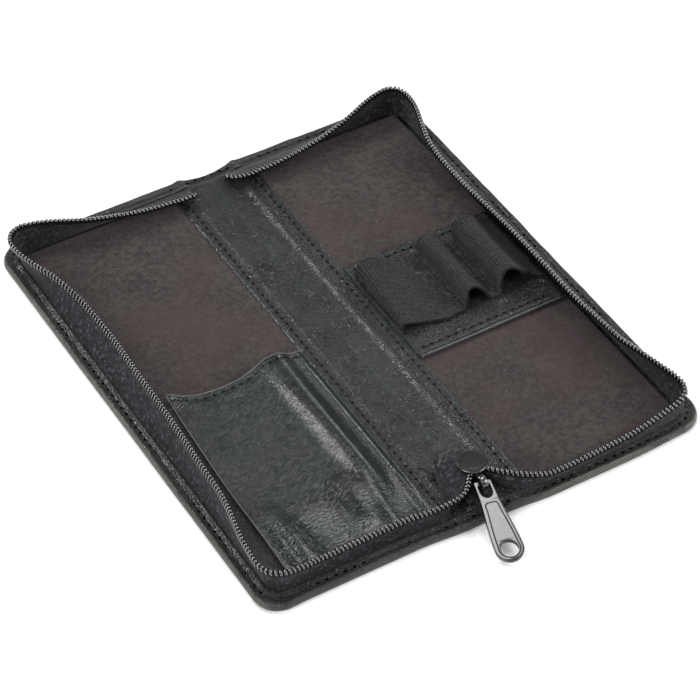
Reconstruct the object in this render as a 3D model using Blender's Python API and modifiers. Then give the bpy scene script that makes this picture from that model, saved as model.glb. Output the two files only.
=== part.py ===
"""Zip-around leather pen case, lying open and flat.

Frame: metres, +Z up, +Y along the spine (the zip slider is at the -Y end),
left panel on -X, right panel on +X. The origin is on the underside of the
spine, at the middle of its length.

The case is one leather cover folded at two creases. Each panel is a tray: a
floor, a low wall round three sides and a turned edge over the top of it. A
board lies in the tray under a suede lining, and the zip tape is caught under
the turned edge and stands up with its coil on top. A wide leather strip covers
the inside of the spine and runs over both creases. The left panel has a
pocket, the right one a leather patch with an elastic band sewn down in loops.
"""

import math

import bmesh
import bpy
from mathutils import Matrix, Vector

# ----------------------------------------------------------------- dimensions
MM = 0.001
HALF_W = 82.0          # half the open width
HALF_L = 95.5          # half the length
CORNER_R = 9.0         # outer corner radius
INNER_EASE = 1.5       # the inner lines turn the corner a little wider
CREASE_X = 10.5        # the two fold lines
CREASE_Z = 3.2
GAP = 0.3              # clearance between touching pieces
SPLIT = 0.3            # each side of a crease line

COVER_T = 1.0          # leather floor and wall
LIP_W = 4.9            # turned edge, measured from the outer edge
LIP_Z0, LIP_Z1 = 2.4, 3.2
BOARD_Z0, BOARD_Z1 = 1.3, 2.0
LINING_Z0, LINING_Z1 = 2.3, 2.8
STRIP_Z0, STRIP_Z1 = 2.3, 3.2
STRIP_HALF = 16.2
STRIP_END = 88.6

TAPE_IN = 5.5          # zip tape's fold, measured from the outer edge
TAPE_T = 0.6
TAPE_H = 9.2           # free width of the tape up to the coil's centre
COIL_R = 1.1

PATCH_X = (16.5, 74.2)
PATCH_Y = (-25.2, 25.5)
PATCH_Z0, PATCH_T = 3.1, 0.9
BAND_Y = (-12.0, 20.8)
BAND_T = 1.0

SLIDER_X, SLIDER_Y = 1.0, -79.5
SLIDER_TOP = 12.2
SLIDER_R = 5.2
PULL_PIVOT = (0.6, -86.5, 8.0)
PULL_YAW = math.radians(-12.0)    # the tab hangs a little to the left
PULL_DIP = math.radians(12.0)     # and slopes down to the resting plane
PULL_LEN = 29.9

# ------------------------------------------------------------------ the scene
for old in list(bpy.data.objects):
    bpy.data.objects.remove(old, do_unlink=True)

scene = bpy.context.scene
parts = bpy.data.collections.new("fountain_pen_case")
scene.collection.children.link(parts)
cutters = bpy.data.collections.new("cutters")
scene.collection.children.link(cutters)


def material(name, colour, roughness, metallic=0.0):
    m = bpy.data.materials.new(name)
    m.use_nodes = True
    p = m.node_tree.nodes["Principled BSDF"]
    p.inputs["Base Color"].default_value = (*colour, 1.0)
    p.inputs["Roughness"].default_value = roughness
    p.inputs["Metallic"].default_value = metallic
    m.diffuse_color = (*colour, 1.0)
    return m


LEATHER = material("leather_black", (0.020, 0.024, 0.023), 0.42)
SUEDE = material("suede_lining", (0.030, 0.022, 0.021), 0.95)
TAPE = material("zip_tape_cloth", (0.022, 0.022, 0.026), 0.85)
COIL = material("zip_coil_nylon", (0.012, 0.012, 0.014), 0.22)
ELASTIC = material("elastic_webbing", (0.026, 0.026, 0.028), 0.80)
METAL = material("slider_black_metal", (0.035, 0.037, 0.040), 0.22, 1.0)
BOARD = material("board_grey", (0.30, 0.29, 0.27), 0.90)


def link(obj, mat, collection=None):
    (collection or parts).objects.link(obj)
    obj.data.materials.clear()
    obj.data.materials.append(mat)
    return obj


def as_cutter(obj):
    obj.hide_render = True
    obj.display_type = "WIRE"
    return obj


def mesh_object(name, bm, mat, smooth=True, collection=None):
    bmesh.ops.recalc_face_normals(bm, faces=bm.faces)
    me = bpy.data.meshes.new(name)
    bm.to_mesh(me)
    bm.free()
    if smooth:
        me.shade_smooth()
        me.set_sharp_from_angle(angle=math.radians(35))
    return link(bpy.data.objects.new(name, me), mat, collection)


def curve_to_mesh(cu, name, mat, matrix=None, collection=None, smooth=True):
    """A curve object's evaluated shape as a welded mesh object."""
    ob = bpy.data.objects.new(name + "_curve", cu)
    scene.collection.objects.link(ob)
    if matrix is not None:
        ob.matrix_world = matrix
    bpy.context.view_layer.update()
    deps = bpy.context.evaluated_depsgraph_get()
    me = bpy.data.meshes.new_from_object(ob.evaluated_get(deps))
    world = ob.matrix_world.copy()
    bpy.data.objects.remove(ob, do_unlink=True)
    bm = bmesh.new()
    bm.from_mesh(me)
    bpy.data.meshes.remove(me)
    bmesh.ops.remove_doubles(bm, verts=bm.verts, dist=1e-6)
    obj = mesh_object(name, bm, mat, smooth, collection)
    obj.matrix_world = world
    return obj


def outline_prism(name, loops, z0, z1, mat, bevel=0.0, bevel_segments=3, collection=None):
    """A flat outline (and any holes in it), extruded from z0 to z1. All in mm."""
    cu = bpy.data.curves.new(name, "CURVE")
    cu.dimensions = "2D"
    cu.fill_mode = "BOTH"
    cu.extrude = (z1 - z0) / 2 * MM
    for loop in loops:
        sp = cu.splines.new("POLY")
        sp.points.add(len(loop) - 1)
        for p, (x, y) in zip(sp.points, loop):
            p.co = (x * MM, y * MM, 0.0, 1.0)
        sp.use_cyclic_u = True
    obj = curve_to_mesh(cu, name, mat, Matrix.Translation((0, 0, (z0 + z1) / 2 * MM)), collection)
    if bevel > 0:
        bv = obj.modifiers.new("rounded_edge", "BEVEL")
        bv.width = bevel * MM
        bv.segments = bevel_segments
        bv.limit_method = "ANGLE"
        bv.angle_limit = math.radians(50)
    return obj


def box(name, lo, hi, mat, bevel=0.0, collection=None):
    bm = bmesh.new()
    bmesh.ops.create_cube(bm, size=1.0)
    size = [(b - a) * MM for a, b in zip(lo, hi)]
    mid = [(a + b) / 2 * MM for a, b in zip(lo, hi)]
    bmesh.ops.scale(bm, vec=size, verts=bm.verts)
    obj = mesh_object(name, bm, mat, False, collection)
    obj.location = mid
    if bevel > 0:
        bv = obj.modifiers.new("rounded_edge", "BEVEL")
        bv.width = bevel * MM
        bv.segments = 2
    return obj


def boolean(target, cutter, operation="DIFFERENCE"):
    md = target.modifiers.new(cutter.name, "BOOLEAN")
    md.operation = operation
    md.solver = "EXACT"
    md.object = cutter
    return md


def empty(name, location, parent=None, rotation=None):
    e = bpy.data.objects.new(name, None)
    e.empty_display_size = 0.01
    parts.objects.link(e)
    e.location = location
    if rotation is not None:
        e.rotation_euler = rotation
    if parent is not None:
        e.parent = parent
    return e


# ---------------------------------------------------------------- the outlines
def panel_outline(sign, inset, x_inner, segments=8):
    """A panel's outline, inset from the outer edge, with two round corners."""
    hx, hy = HALF_W - inset, HALF_L - inset
    r = CORNER_R - inset + (INNER_EASE if inset > 3 else 0.0)
    pts = [(x_inner, hy)]
    for i in range(segments + 1):
        a = math.pi / 2 * (1 - i / segments)
        pts.append((hx - r + r * math.cos(a), hy - r + r * math.sin(a)))
    for i in range(segments + 1):
        a = -math.pi / 2 * i / segments
        pts.append((hx - r + r * math.cos(a), -hy + r + r * math.sin(a)))
    pts.append((x_inner, -hy))
    pts = [(sign * x, y) for x, y in pts]
    return pts if sign > 0 else pts[::-1]


def smoothstep(t):
    t = min(max(t, 0.0), 1.0)
    return t * t * (3 - 2 * t)


def edge_path(sign, inset, x_start, step, corner_steps=6):
    """Points round three sides, far end first: (x, y, outward x, outward y, side)."""
    hx, hy = HALF_W - inset, HALF_L - inset
    r = CORNER_R - inset + INNER_EASE
    out = []
    n = max(2, round((hx - r - x_start) / step))
    for i in range(n):
        out.append((x_start + (hx - r - x_start) * i / n, hy, 0.0, 1.0, "far"))
    for i in range(corner_steps):
        a = math.pi / 2 * (1 - i / corner_steps)
        out.append((hx - r + r * math.cos(a), hy - r + r * math.sin(a), math.cos(a), math.sin(a), "corner"))
    n = max(2, round(2 * (hy - r) / step))
    for i in range(n):
        out.append((hx, (hy - r) * (1 - 2 * i / n), 1.0, 0.0, "side"))
    for i in range(corner_steps):
        a = -math.pi / 2 * i / corner_steps
        out.append((hx - r + r * math.cos(a), -hy + r + r * math.sin(a), math.cos(a), math.sin(a), "corner"))
    n = max(2, round((hx - r - x_start) / step))
    for i in range(n + 1):
        out.append((hx - r + (x_start - hx + r) * i / n, -hy, 0.0, -1.0, "near"))
    return [(sign * x, y, sign * nx, ny, side) for x, y, nx, ny, side in out]


def tape_lean(x, y, side):
    """How far the coil leans inward from the tape's fold, and its free width.

    The tape stands upright in the corners and leans in along the straights. On
    the near end less of it shows, and it drops away towards the spine.
    """
    if side == "side":
        return 5.4 * smoothstep((HALF_L - 15.0 - abs(y)) / 32.0), TAPE_H
    if side == "far":
        return 7.9 * smoothstep((HALF_W - 8.0 - abs(x)) / 42.0), TAPE_H
    if side == "near":
        free = TAPE_H - 3.0 * smoothstep((HALF_W - 10.0 - abs(x)) / 20.0)
        free -= 2.6 * smoothstep((28.0 - abs(x)) / 10.0)
        return -0.6 * smoothstep((HALF_W - 10.0 - abs(x)) / 20.0), free
    return 0.0, TAPE_H


def coil_point(x, y, nx, ny, side):
    lean, free = tape_lean(x, y, side)
    rise = math.sqrt(max(free * free - lean * lean, 1.0))
    return (x - nx * lean, y - ny * lean, 3.0 + rise)


# ------------------------------------------------------------- panels' joints
creases = {}
for side_name, sign in (("left", -1), ("right", 1)):
    creases[side_name] = empty(side_name + "_crease", (sign * CREASE_X * MM, 0.0, CREASE_Z * MM))


def put_on(obj, crease_name):
    """Parents a piece modelled in world coordinates to its crease's empty."""
    e = creases[crease_name]
    obj.parent = e
    obj.matrix_parent_inverse = Matrix.Translation(-e.location)
    return obj


# ------------------------------------------------------------------ the panels
for side_name, sign in (("left", -1), ("right", 1)):
    inner = CREASE_X + SPLIT

    # leather cover: floor, wall round three sides and turned edge, one piece
    block = outline_prism("cover_" + side_name, [panel_outline(sign, 0.0, inner - 3.0)],
                          0.0, LIP_Z1, LEATHER, bevel=0.9, bevel_segments=3)
    hollow = outline_prism("hollow_" + side_name, [panel_outline(sign, COVER_T, inner - 6.0)],
                           COVER_T, LIP_Z0, LEATHER, collection=cutters)
    mouth = outline_prism("mouth_" + side_name, [panel_outline(sign, LIP_W, inner - 6.0)],
                          LIP_Z0 - 0.6, LIP_Z1 + 2.0, LEATHER, collection=cutters)
    lo, hi = sorted((sign * (inner - 8.0), sign * inner))
    trim = box("trim_" + side_name, (lo, -HALF_L - 5, -5), (hi, HALF_L + 5, 10), LEATHER, collection=cutters)
    for c in (hollow, mouth, trim):
        as_cutter(c)
        boolean(block, c)
    put_on(block, side_name)

    # stiffening board, hidden between cover and lining
    board = outline_prism("board_" + side_name, [panel_outline(sign, 6.8, inner + 0.2)],
                          BOARD_Z0, BOARD_Z1, BOARD)
    put_on(board, side_name)

    # suede lining, from the leather strip's edge to the zip tape
    lining = outline_prism("lining_" + side_name, [panel_outline(sign, 6.6, STRIP_HALF + GAP)],
                           LINING_Z0, LINING_Z1, SUEDE)
    put_on(lining, side_name)

    # the part of the inner leather strip that lies on this panel
    lo, hi = sorted((sign * inner, sign * STRIP_HALF))
    margin = box("strip_margin_" + side_name, (lo, -STRIP_END, STRIP_Z0), (hi, STRIP_END, STRIP_Z1), LEATHER)
    put_on(margin, side_name)

    # zip tape: caught flat under the turned edge, then standing up to the coil
    path = edge_path(sign, TAPE_IN, inner + 0.5, 6.0)
    rows = 5
    bm = bmesh.new()
    bmesh.ops.create_grid(bm, x_segments=len(path) - 1, y_segments=rows - 1, size=1.0)
    bm.verts.ensure_lookup_table()
    order = sorted(bm.verts, key=lambda v: (round(v.co.x, 5), round(v.co.y, 5)))
    for i, (x, y, nx, ny, side) in enumerate(path):
        cx, cy, cz = coil_point(x, y, nx, ny, side)
        base = Vector((x, y, 3.0))
        top = Vector((cx, cy, cz))
        way = (top - base)
        stop = top - way.normalized() * (COIL_R + GAP + 0.1)
        column = [
            Vector((x + nx * 2.6, y + ny * 2.6, 1.75)),
            Vector((x + nx * 0.3, y + ny * 0.3, 1.75)),
            Vector((x, y, 3.0)),
            base.lerp(stop, 0.45),
            stop,
        ]
        for j, p in enumerate(column):
            order[i * rows + j].co = p * MM
    tape = mesh_object("zip_tape_" + side_name, bm, TAPE)
    so = tape.modifiers.new("cloth_thickness", "SOLIDIFY")
    so.thickness = TAPE_T * MM
    so.offset = 0.0
    so.use_even_offset = True
    put_on(tape, side_name)

    # zip coil on the tape's free edge
    cu = bpy.data.curves.new("zip_coil_" + side_name, "CURVE")
    cu.dimensions = "3D"
    cu.bevel_depth = COIL_R * MM
    cu.bevel_resolution = 2
    cu.use_fill_caps = True
    sp = cu.splines.new("POLY")
    sp.points.add(len(path) - 1)
    for p, q in zip(sp.points, path):
        p.co = (*(c * MM for c in coil_point(*q)), 1.0)
    coil = curve_to_mesh(cu, "zip_coil_" + side_name, COIL)
    put_on(coil, side_name)

# --------------------------------------------------------- pocket, left panel
POCKET_Y = (-88.8, -5.4)
bm = bmesh.new()
NX, NY = 14, 16
bmesh.ops.create_grid(bm, x_segments=NX, y_segments=NY, size=0.5)
for v in bm.verts:
    u, w = v.co.x + 0.5, v.co.y + 0.5          # 0 at the free edge, 1 at the strip
    y = POCKET_Y[0] + (POCKET_Y[1] - POCKET_Y[0]) * w
    x_free = -65.2 - 3.2 * (1 - w) + 2.2 * math.sin(math.pi * w)
    x = x_free + (-(STRIP_HALF + 0.5) - x_free) * u
    y += 5.5 * w * smoothstep(1 - u / 0.25) - 1.5 * w * math.sin(math.pi * u)
    belly = math.sin(math.pi * min(max(u, 0.0), 1.0)) ** 0.55
    closed_end = smoothstep(w / 0.30)
    z = 3.25 + 4.3 * belly * (0.25 + 0.75 * closed_end)
    v.co = Vector((x, y, z)) * MM
pocket = mesh_object("pocket_leather", bm, LEATHER)
so = pocket.modifiers.new("leather_thickness", "SOLIDIFY")
so.thickness = 1.0 * MM
so.offset = 1.0
so.use_even_offset = True
put_on(pocket, "left")

# ------------------------------------------- leather patch and elastic, right
patch = outline_prism("loop_patch", [[(PATCH_X[0], PATCH_Y[0]), (PATCH_X[1], PATCH_Y[0]),
                                      (PATCH_X[1], PATCH_Y[1]), (PATCH_X[0], PATCH_Y[1])]],
                      PATCH_Z0, PATCH_Z0 + PATCH_T, LEATHER, bevel=0.25, bevel_segments=2)
put_on(patch, "right")

BAND_Z = PATCH_Z0 + PATCH_T + GAP


# under side of the band, from the spine outwards: the wide loop lies nearly flat, the
# two pen loops stand up steeply on their left and fall away easily on their right
profile = [(17.4, BAND_Z), (17.7, 5.2), (18.5, 6.3), (20.0, 6.9), (22.0, 6.9), (25.0, 6.1), (29.0, 5.0), (33.0, BAND_Z), (40.6, BAND_Z)]
profile += [(42.3, BAND_Z), (42.4, 7.2), (42.9, 9.2), (44.0, 10.2), (45.6, 10.2), (47.2, 9.3), (48.8, 7.4), (50.0, 5.4), (50.9, BAND_Z)]
profile += [(56.3, BAND_Z), (56.5, 7.8), (57.2, 10.3), (58.6, 11.5), (60.2, 11.6), (62.2, 10.7), (64.6, 8.6), (67.0, 6.2), (68.9, BAND_Z)]
profile += [(72.8, BAND_Z)]
bm = bmesh.new()
row = [bm.verts.new(Vector((x, BAND_Y[0], z)) * MM) for x, z in profile]
edges = [bm.edges.new((a, b)) for a, b in zip(row, row[1:])]
ext = bmesh.ops.extrude_edge_only(bm, edges=edges)
moved = [g for g in ext["geom"] if isinstance(g, bmesh.types.BMVert)]
bmesh.ops.translate(bm, verts=moved, vec=(0.0, (BAND_Y[1] - BAND_Y[0]) * MM, 0.0))
me = bpy.data.meshes.new("elastic_band")
bm.normal_update()
if sum(f.normal.z * f.calc_area() for f in bm.faces) < 0:
    bmesh.ops.reverse_faces(bm, faces=bm.faces)
bm.to_mesh(me)
bm.free()
band = link(bpy.data.objects.new("elastic_band", me), ELASTIC)
so = band.modifiers.new("webbing_thickness", "SOLIDIFY")
so.thickness = BAND_T * MM
so.offset = 1.0
so.use_even_offset = False
put_on(band, "right")

# -------------------------------------------------------------------- the spine
X_ROOT = CREASE_X - SPLIT
block = box("cover_spine", (-X_ROOT, -HALF_L, 0.0), (X_ROOT, HALF_L, LIP_Z1), LEATHER)
hollow = box("hollow_spine", (-X_ROOT - 5, -HALF_L + COVER_T, COVER_T),
             (X_ROOT + 5, HALF_L - COVER_T, LIP_Z0), LEATHER, collection=cutters)
mouth = box("mouth_spine", (-X_ROOT - 5, -HALF_L + LIP_W, LIP_Z0 - 0.6),
            (X_ROOT + 5, HALF_L - LIP_W, LIP_Z1 + 2), LEATHER, collection=cutters)
for c in (hollow, mouth):
    as_cutter(c)
    boolean(block, c)
bv = block.modifiers.new("rolled_ends", "BEVEL")
bv.width = 0.3 * MM
bv.segments = 2
bv.limit_method = "ANGLE"
bv.angle_limit = math.radians(50)

box("lining_spine", (-X_ROOT, -STRIP_END, 1.3), (X_ROOT, STRIP_END, 2.0), SUEDE)
box("strip_centre", (-X_ROOT, -STRIP_END, STRIP_Z0), (X_ROOT, STRIP_END, STRIP_Z1), LEATHER)

# end of the zip tape, sewn down on the strip behind the slider
TAB_X, TAB_R, TAB_Y = 1.2, 7.0, -72.8
tab = [(TAB_X + TAB_R * math.cos(math.pi * i / 20), TAB_Y + TAB_R * math.sin(math.pi * i / 20)) for i in range(21)]
tab += [(TAB_X - TAB_R, -88.6), (TAB_X + TAB_R, -88.6)]
outline_prism("zip_tape_end_tab", [tab], STRIP_Z1 + GAP, STRIP_Z1 + GAP + 0.7, TAPE)

# moulded stop at the bottom end of the zip, under the slider's cap
box("zip_bottom_stop", (SLIDER_X - 2.4, -77.3, 7.4), (SLIDER_X + 2.4, -75.0, 9.8), METAL, bevel=0.35)

# ------------------------------------------------------------------ zip slider
slider_way = empty("slider_way", (SLIDER_X * MM, SLIDER_Y * MM, 9.0 * MM))


def on_slider(obj):
    obj.parent = slider_way
    obj.matrix_parent_inverse = Matrix.Translation(-slider_way.location)
    return obj


def disc(name, radius, z0, z1, y_stretch=1.0, collection=None, bevel=0.0):
    bm = bmesh.new()
    bmesh.ops.create_cone(bm, cap_ends=True, segments=40, radius1=radius * MM, radius2=radius * MM,
                          depth=(z1 - z0) * MM)
    bmesh.ops.scale(bm, vec=(1.0, y_stretch, 1.0), verts=bm.verts)
    obj = mesh_object(name, bm, METAL, True, collection)
    obj.location = (SLIDER_X * MM, SLIDER_Y * MM, (z0 + z1) / 2 * MM)
    if bevel > 0:
        bv = obj.modifiers.new("rounded_edge", "BEVEL")
        bv.width = bevel * MM
        bv.segments = 3
        bv.limit_method = "ANGLE"
        bv.angle_limit = math.radians(50)
    return obj


# round cap, wedge post between the coils and bottom plate, cast in one piece
body = disc("slider_body", SLIDER_R, SLIDER_TOP - 1.1, SLIDER_TOP, bevel=0.35)
post = outline_prism("post", [[(SLIDER_X - 1.4, -83.4), (SLIDER_X + 1.4, -83.4),
                               (SLIDER_X + 0.7, -79.6), (SLIDER_X - 0.7, -79.6)]],
                     5.8, SLIDER_TOP - 0.6, METAL, collection=cutters)
plate = disc("plate", 4.4, 5.3, 6.3, y_stretch=1.08, collection=cutters)
for c in (post, plate):
    as_cutter(c)
    boolean(body, c, "UNION")
on_slider(body)

# bail: a strap bent into a C from under the cap down round the tab's end bar
px, py, pz = PULL_PIVOT
bail_path = []
for i in range(15):
    a = math.radians(112 + (250 - 112) * i / 14)
    bail_path.append((py + 0.3 + 2.15 * math.cos(a), pz + 0.15 + 2.35 * math.sin(a)))
bail_path = [(-83.9, pz + 2.35)] + bail_path + [(-84.8, pz - 2.0)]
bm = bmesh.new()
row = [bm.verts.new(Vector((px - 1.1, y, z)) * MM) for y, z in bail_path]
edges = [bm.edges.new((a, b)) for a, b in zip(row, row[1:])]
ext = bmesh.ops.extrude_edge_only(bm, edges=edges)
moved = [g for g in ext["geom"] if isinstance(g, bmesh.types.BMVert)]
bmesh.ops.translate(bm, verts=moved, vec=(2.2 * MM, 0.0, 0.0))
bail = mesh_object("slider_bail", bm, METAL)
so = bail.modifiers.new("strap_thickness", "SOLIDIFY")
so.thickness = 0.7 * MM
so.offset = 0.0
so.use_even_offset = True
on_slider(bail)

# ------------------------------------------------------------------- pull tab
pull_pivot = empty("pull_pivot", [c * MM for c in PULL_PIVOT], rotation=(0.0, 0.0, 0.0))
pull_pivot.parent = slider_way
pull_pivot.matrix_parent_inverse = Matrix.Translation(-slider_way.location)


def rounded_slot(x0, x1, y0, y1, n=8):
    """A slot with one half-round end, at its lowest y."""
    r = (x1 - x0) / 2
    pts = [(x1, y1), (x0, y1)]
    for i in range(n + 1):
        a = math.pi + math.pi * i / n
        pts.append(((x0 + x1) / 2 + r * math.cos(a), y0 + r + r * math.sin(a)))
    return pts


W_TOP, W_TIP = 6.2, 9.4
outline = [(W_TOP / 2 - 0.5, 0.75), (-W_TOP / 2 + 0.5, 0.75), (-W_TOP / 2, 0.25), (-W_TOP / 2, -3.0)]
y_round = -(PULL_LEN - W_TIP / 2 - 0.75)
outline += [(-W_TIP / 2 + 0.25, y_round + 4.5)]
for i in range(19):
    a = math.pi + math.pi * i / 18
    outline.append((W_TIP / 2 * math.cos(a), y_round + W_TIP / 2 * math.sin(a)))
outline += [(W_TIP / 2 - 0.25, y_round + 4.5), (W_TOP / 2, -3.0), (W_TOP / 2, 0.25)]
slot = rounded_slot(-2.0, 2.0, -5.6, -0.75)
hole = [(3.05 * math.cos(2 * math.pi * i / 32), y_round - 0.3 + 3.05 * math.sin(2 * math.pi * i / 32)) for i in range(32)]
puller = outline_prism("zip_puller", [outline, slot, hole], -0.75, 0.75, METAL, bevel=0.25, bevel_segments=2)
puller.matrix_world = Matrix.Identity(4)
puller.parent = pull_pivot
puller.location = (0.0, 0.0, 0.0)
puller.rotation_mode = "XYZ"
puller.rotation_euler = (PULL_DIP, 0.0, PULL_YAW)

bpy.context.view_layer.update()
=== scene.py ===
"""Looks of the open zip-around leather pen case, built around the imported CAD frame."""

import math

import bmesh
import bpy
import numpy as np
from mathutils import Matrix, Vector


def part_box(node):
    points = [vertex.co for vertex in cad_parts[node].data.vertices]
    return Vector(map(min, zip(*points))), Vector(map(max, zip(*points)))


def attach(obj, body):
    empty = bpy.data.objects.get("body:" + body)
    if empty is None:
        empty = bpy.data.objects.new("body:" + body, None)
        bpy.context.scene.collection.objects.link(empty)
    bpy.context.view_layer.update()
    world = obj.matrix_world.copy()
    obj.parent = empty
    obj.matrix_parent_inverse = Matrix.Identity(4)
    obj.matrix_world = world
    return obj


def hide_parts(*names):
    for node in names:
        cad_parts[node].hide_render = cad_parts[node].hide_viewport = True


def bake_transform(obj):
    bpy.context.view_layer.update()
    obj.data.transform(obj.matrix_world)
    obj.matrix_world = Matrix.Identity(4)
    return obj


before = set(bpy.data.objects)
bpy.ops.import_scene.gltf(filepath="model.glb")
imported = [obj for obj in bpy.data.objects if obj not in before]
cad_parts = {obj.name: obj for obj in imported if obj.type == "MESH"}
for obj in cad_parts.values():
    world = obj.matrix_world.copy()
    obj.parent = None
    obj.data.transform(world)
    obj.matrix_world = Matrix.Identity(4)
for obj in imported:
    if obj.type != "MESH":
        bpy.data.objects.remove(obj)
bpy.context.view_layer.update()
MM = 0.001
scene = bpy.context.scene

# sizes that the looks follow, in millimetres, read from the frame where it has them
lo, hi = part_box("cover_right")
HALF_W, HALF_L = hi.x / MM, hi.y / MM
CORNER_R = 9.0
HINGE_X = 10.5
BLEND0, BLEND1 = 7.5, 13.5       # where the leather would bend, each side of the spine; the cover's stations are set closer between these

# ------------------------------------------------------------------ numeric help
def smoothstep(t):
    t = np.clip(t, 0.0, 1.0)
    return t * t * (3 - 2 * t)


def bump_at(x, centre, width):
    return np.exp(-((x - centre) / width) ** 2)


_lattices = {}


def vnoise(x, y, seed=0):
    """Smooth value noise in -1..1 on arrays."""
    if seed not in _lattices:
        _lattices[seed] = np.random.RandomState(1000 + seed).uniform(-1, 1, (64, 64))
    lat = _lattices[seed]
    xi, yi = np.floor(x).astype(int), np.floor(y).astype(int)
    fx, fy = x - xi, y - yi
    fx = fx * fx * fx * (fx * (fx * 6 - 15) + 10)
    fy = fy * fy * fy * (fy * (fy * 6 - 15) + 10)
    a = lat[xi % 64, yi % 64]
    b = lat[(xi + 1) % 64, yi % 64]
    c = lat[xi % 64, (yi + 1) % 64]
    d = lat[(xi + 1) % 64, (yi + 1) % 64]
    return (a * (1 - fx) + b * fx) * (1 - fy) + (c * (1 - fx) + d * fx) * fy


def fbm(x, y, scale, seed=0, octaves=3, gain=0.5):
    total, amp, norm = 0.0, 1.0, 0.0
    for k in range(octaves):
        total = total + amp * vnoise(x / scale + 17.3 * k, y / scale - 9.1 * k, seed + k)
        norm += amp
        amp *= gain
        scale *= 0.5
    return total / norm


def spline(keys, n=None, step=None, closed=False):
    """A smooth curve through the key rows, by centripetal-like Catmull-Rom, resampled evenly along its first 3 columns."""
    k = np.asarray(keys, float)
    m = len(k)
    ext = np.vstack([2 * k[0] - k[1], k, 2 * k[-1] - k[-2]])
    out = []
    for i in range(m - 1):
        p0, p1, p2, p3 = ext[i:i + 4]
        d01 = max(np.linalg.norm((p1 - p0)[:3]), 1e-6)
        d12 = max(np.linalg.norm((p2 - p1)[:3]), 1e-6)
        d23 = max(np.linalg.norm((p3 - p2)[:3]), 1e-6)
        m1 = d12 * ((p1 - p0) / d01 * d12 + (p2 - p1) / d12 * d01) / (d01 + d12)
        m2 = d12 * ((p2 - p1) / d12 * d23 + (p3 - p2) / d23 * d12) / (d12 + d23)
        cnt = max(6, int(d12 / 0.25))
        t = np.linspace(0, 1, cnt, endpoint=False)[:, None]
        out.append((2 * t ** 3 - 3 * t ** 2 + 1) * p1 + (t ** 3 - 2 * t ** 2 + t) * m1
                   + (-2 * t ** 3 + 3 * t ** 2) * p2 + (t ** 3 - t ** 2) * m2)
    out.append(k[-1:])
    pts = np.vstack(out)
    s = np.concatenate([[0], np.cumsum(np.linalg.norm(np.diff(pts[:, :3], axis=0), axis=1))])
    if n is None:
        n = max(2, int(round(s[-1] / step)) + 1)
    q = np.linspace(0, s[-1], n)
    return np.stack([np.interp(q, s, pts[:, j]) for j in range(pts.shape[1])], 1), q


# ------------------------------------------------------------------- the warp
def warp(P):
    """The soft case isn't a perfect rectangle: its outline bows a little."""
    P = np.array(P, float)
    x, y, z = P[..., 0], P[..., 1], P[..., 2]
    near = smoothstep((-y - 55.0) / 38.0)
    left = smoothstep((-x - 8.0) / 20.0) * (1 - 0.4 * smoothstep((-x - 66.0) / 14.0))
    right = smoothstep((x - 6.0) / 16.0) * smoothstep((80.0 - x) / 30.0)
    P[..., 1] = y + near * (1.1 * left - 1.2 * right)
    return P


# ------------------------------------------------------------------ mesh making
def add_object(name, verts, faces, mat, uvs=None, weld=False, smooth_angle=40.0, warped=True):
    V = np.asarray(verts, float)
    if warped:
        V = warp(V)
    me = bpy.data.meshes.new(name)
    me.from_pydata((V * MM).tolist(), [], faces)
    if uvs is not None:
        layer = me.uv_layers.new(name="UVMap")
        loops = np.zeros(len(me.loops), np.int32)
        me.loops.foreach_get("vertex_index", loops)
        layer.data.foreach_set("uv", np.asarray(uvs, np.float32)[loops].ravel())
    if weld:
        bm = bmesh.new()
        bm.from_mesh(me)
        bmesh.ops.remove_doubles(bm, verts=bm.verts, dist=2e-6)
        bmesh.ops.dissolve_degenerate(bm, edges=bm.edges, dist=1e-7)
        bmesh.ops.recalc_face_normals(bm, faces=bm.faces)
        bm.to_mesh(me)
        bm.free()
    me.validate()
    me.shade_smooth()
    if smooth_angle:
        me.set_sharp_from_angle(angle=math.radians(smooth_angle))
    ob = bpy.data.objects.new(name, me)
    scene.collection.objects.link(ob)
    if mat is not None:
        me.materials.append(mat)
    return ob


def grid_faces(nu, nv, base=0, flip=False, wrap_v=False, wrap_u=False):
    f = []
    for i in range(nu if wrap_u else nu - 1):
        for j in range(nv if wrap_v else nv - 1):
            a = base + i * nv + j
            b = base + ((i + 1) % nu) * nv + j
            c = base + ((i + 1) % nu) * nv + (j + 1) % nv
            d = base + i * nv + (j + 1) % nv
            f.append((a, d, c, b) if flip else (a, b, c, d))
    return f


def grid_normals(P):
    du = np.gradient(P, axis=0)
    dv = np.gradient(P, axis=1)
    n = np.cross(du, dv)
    return n / np.maximum(np.linalg.norm(n, axis=2, keepdims=True), 1e-9)


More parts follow.
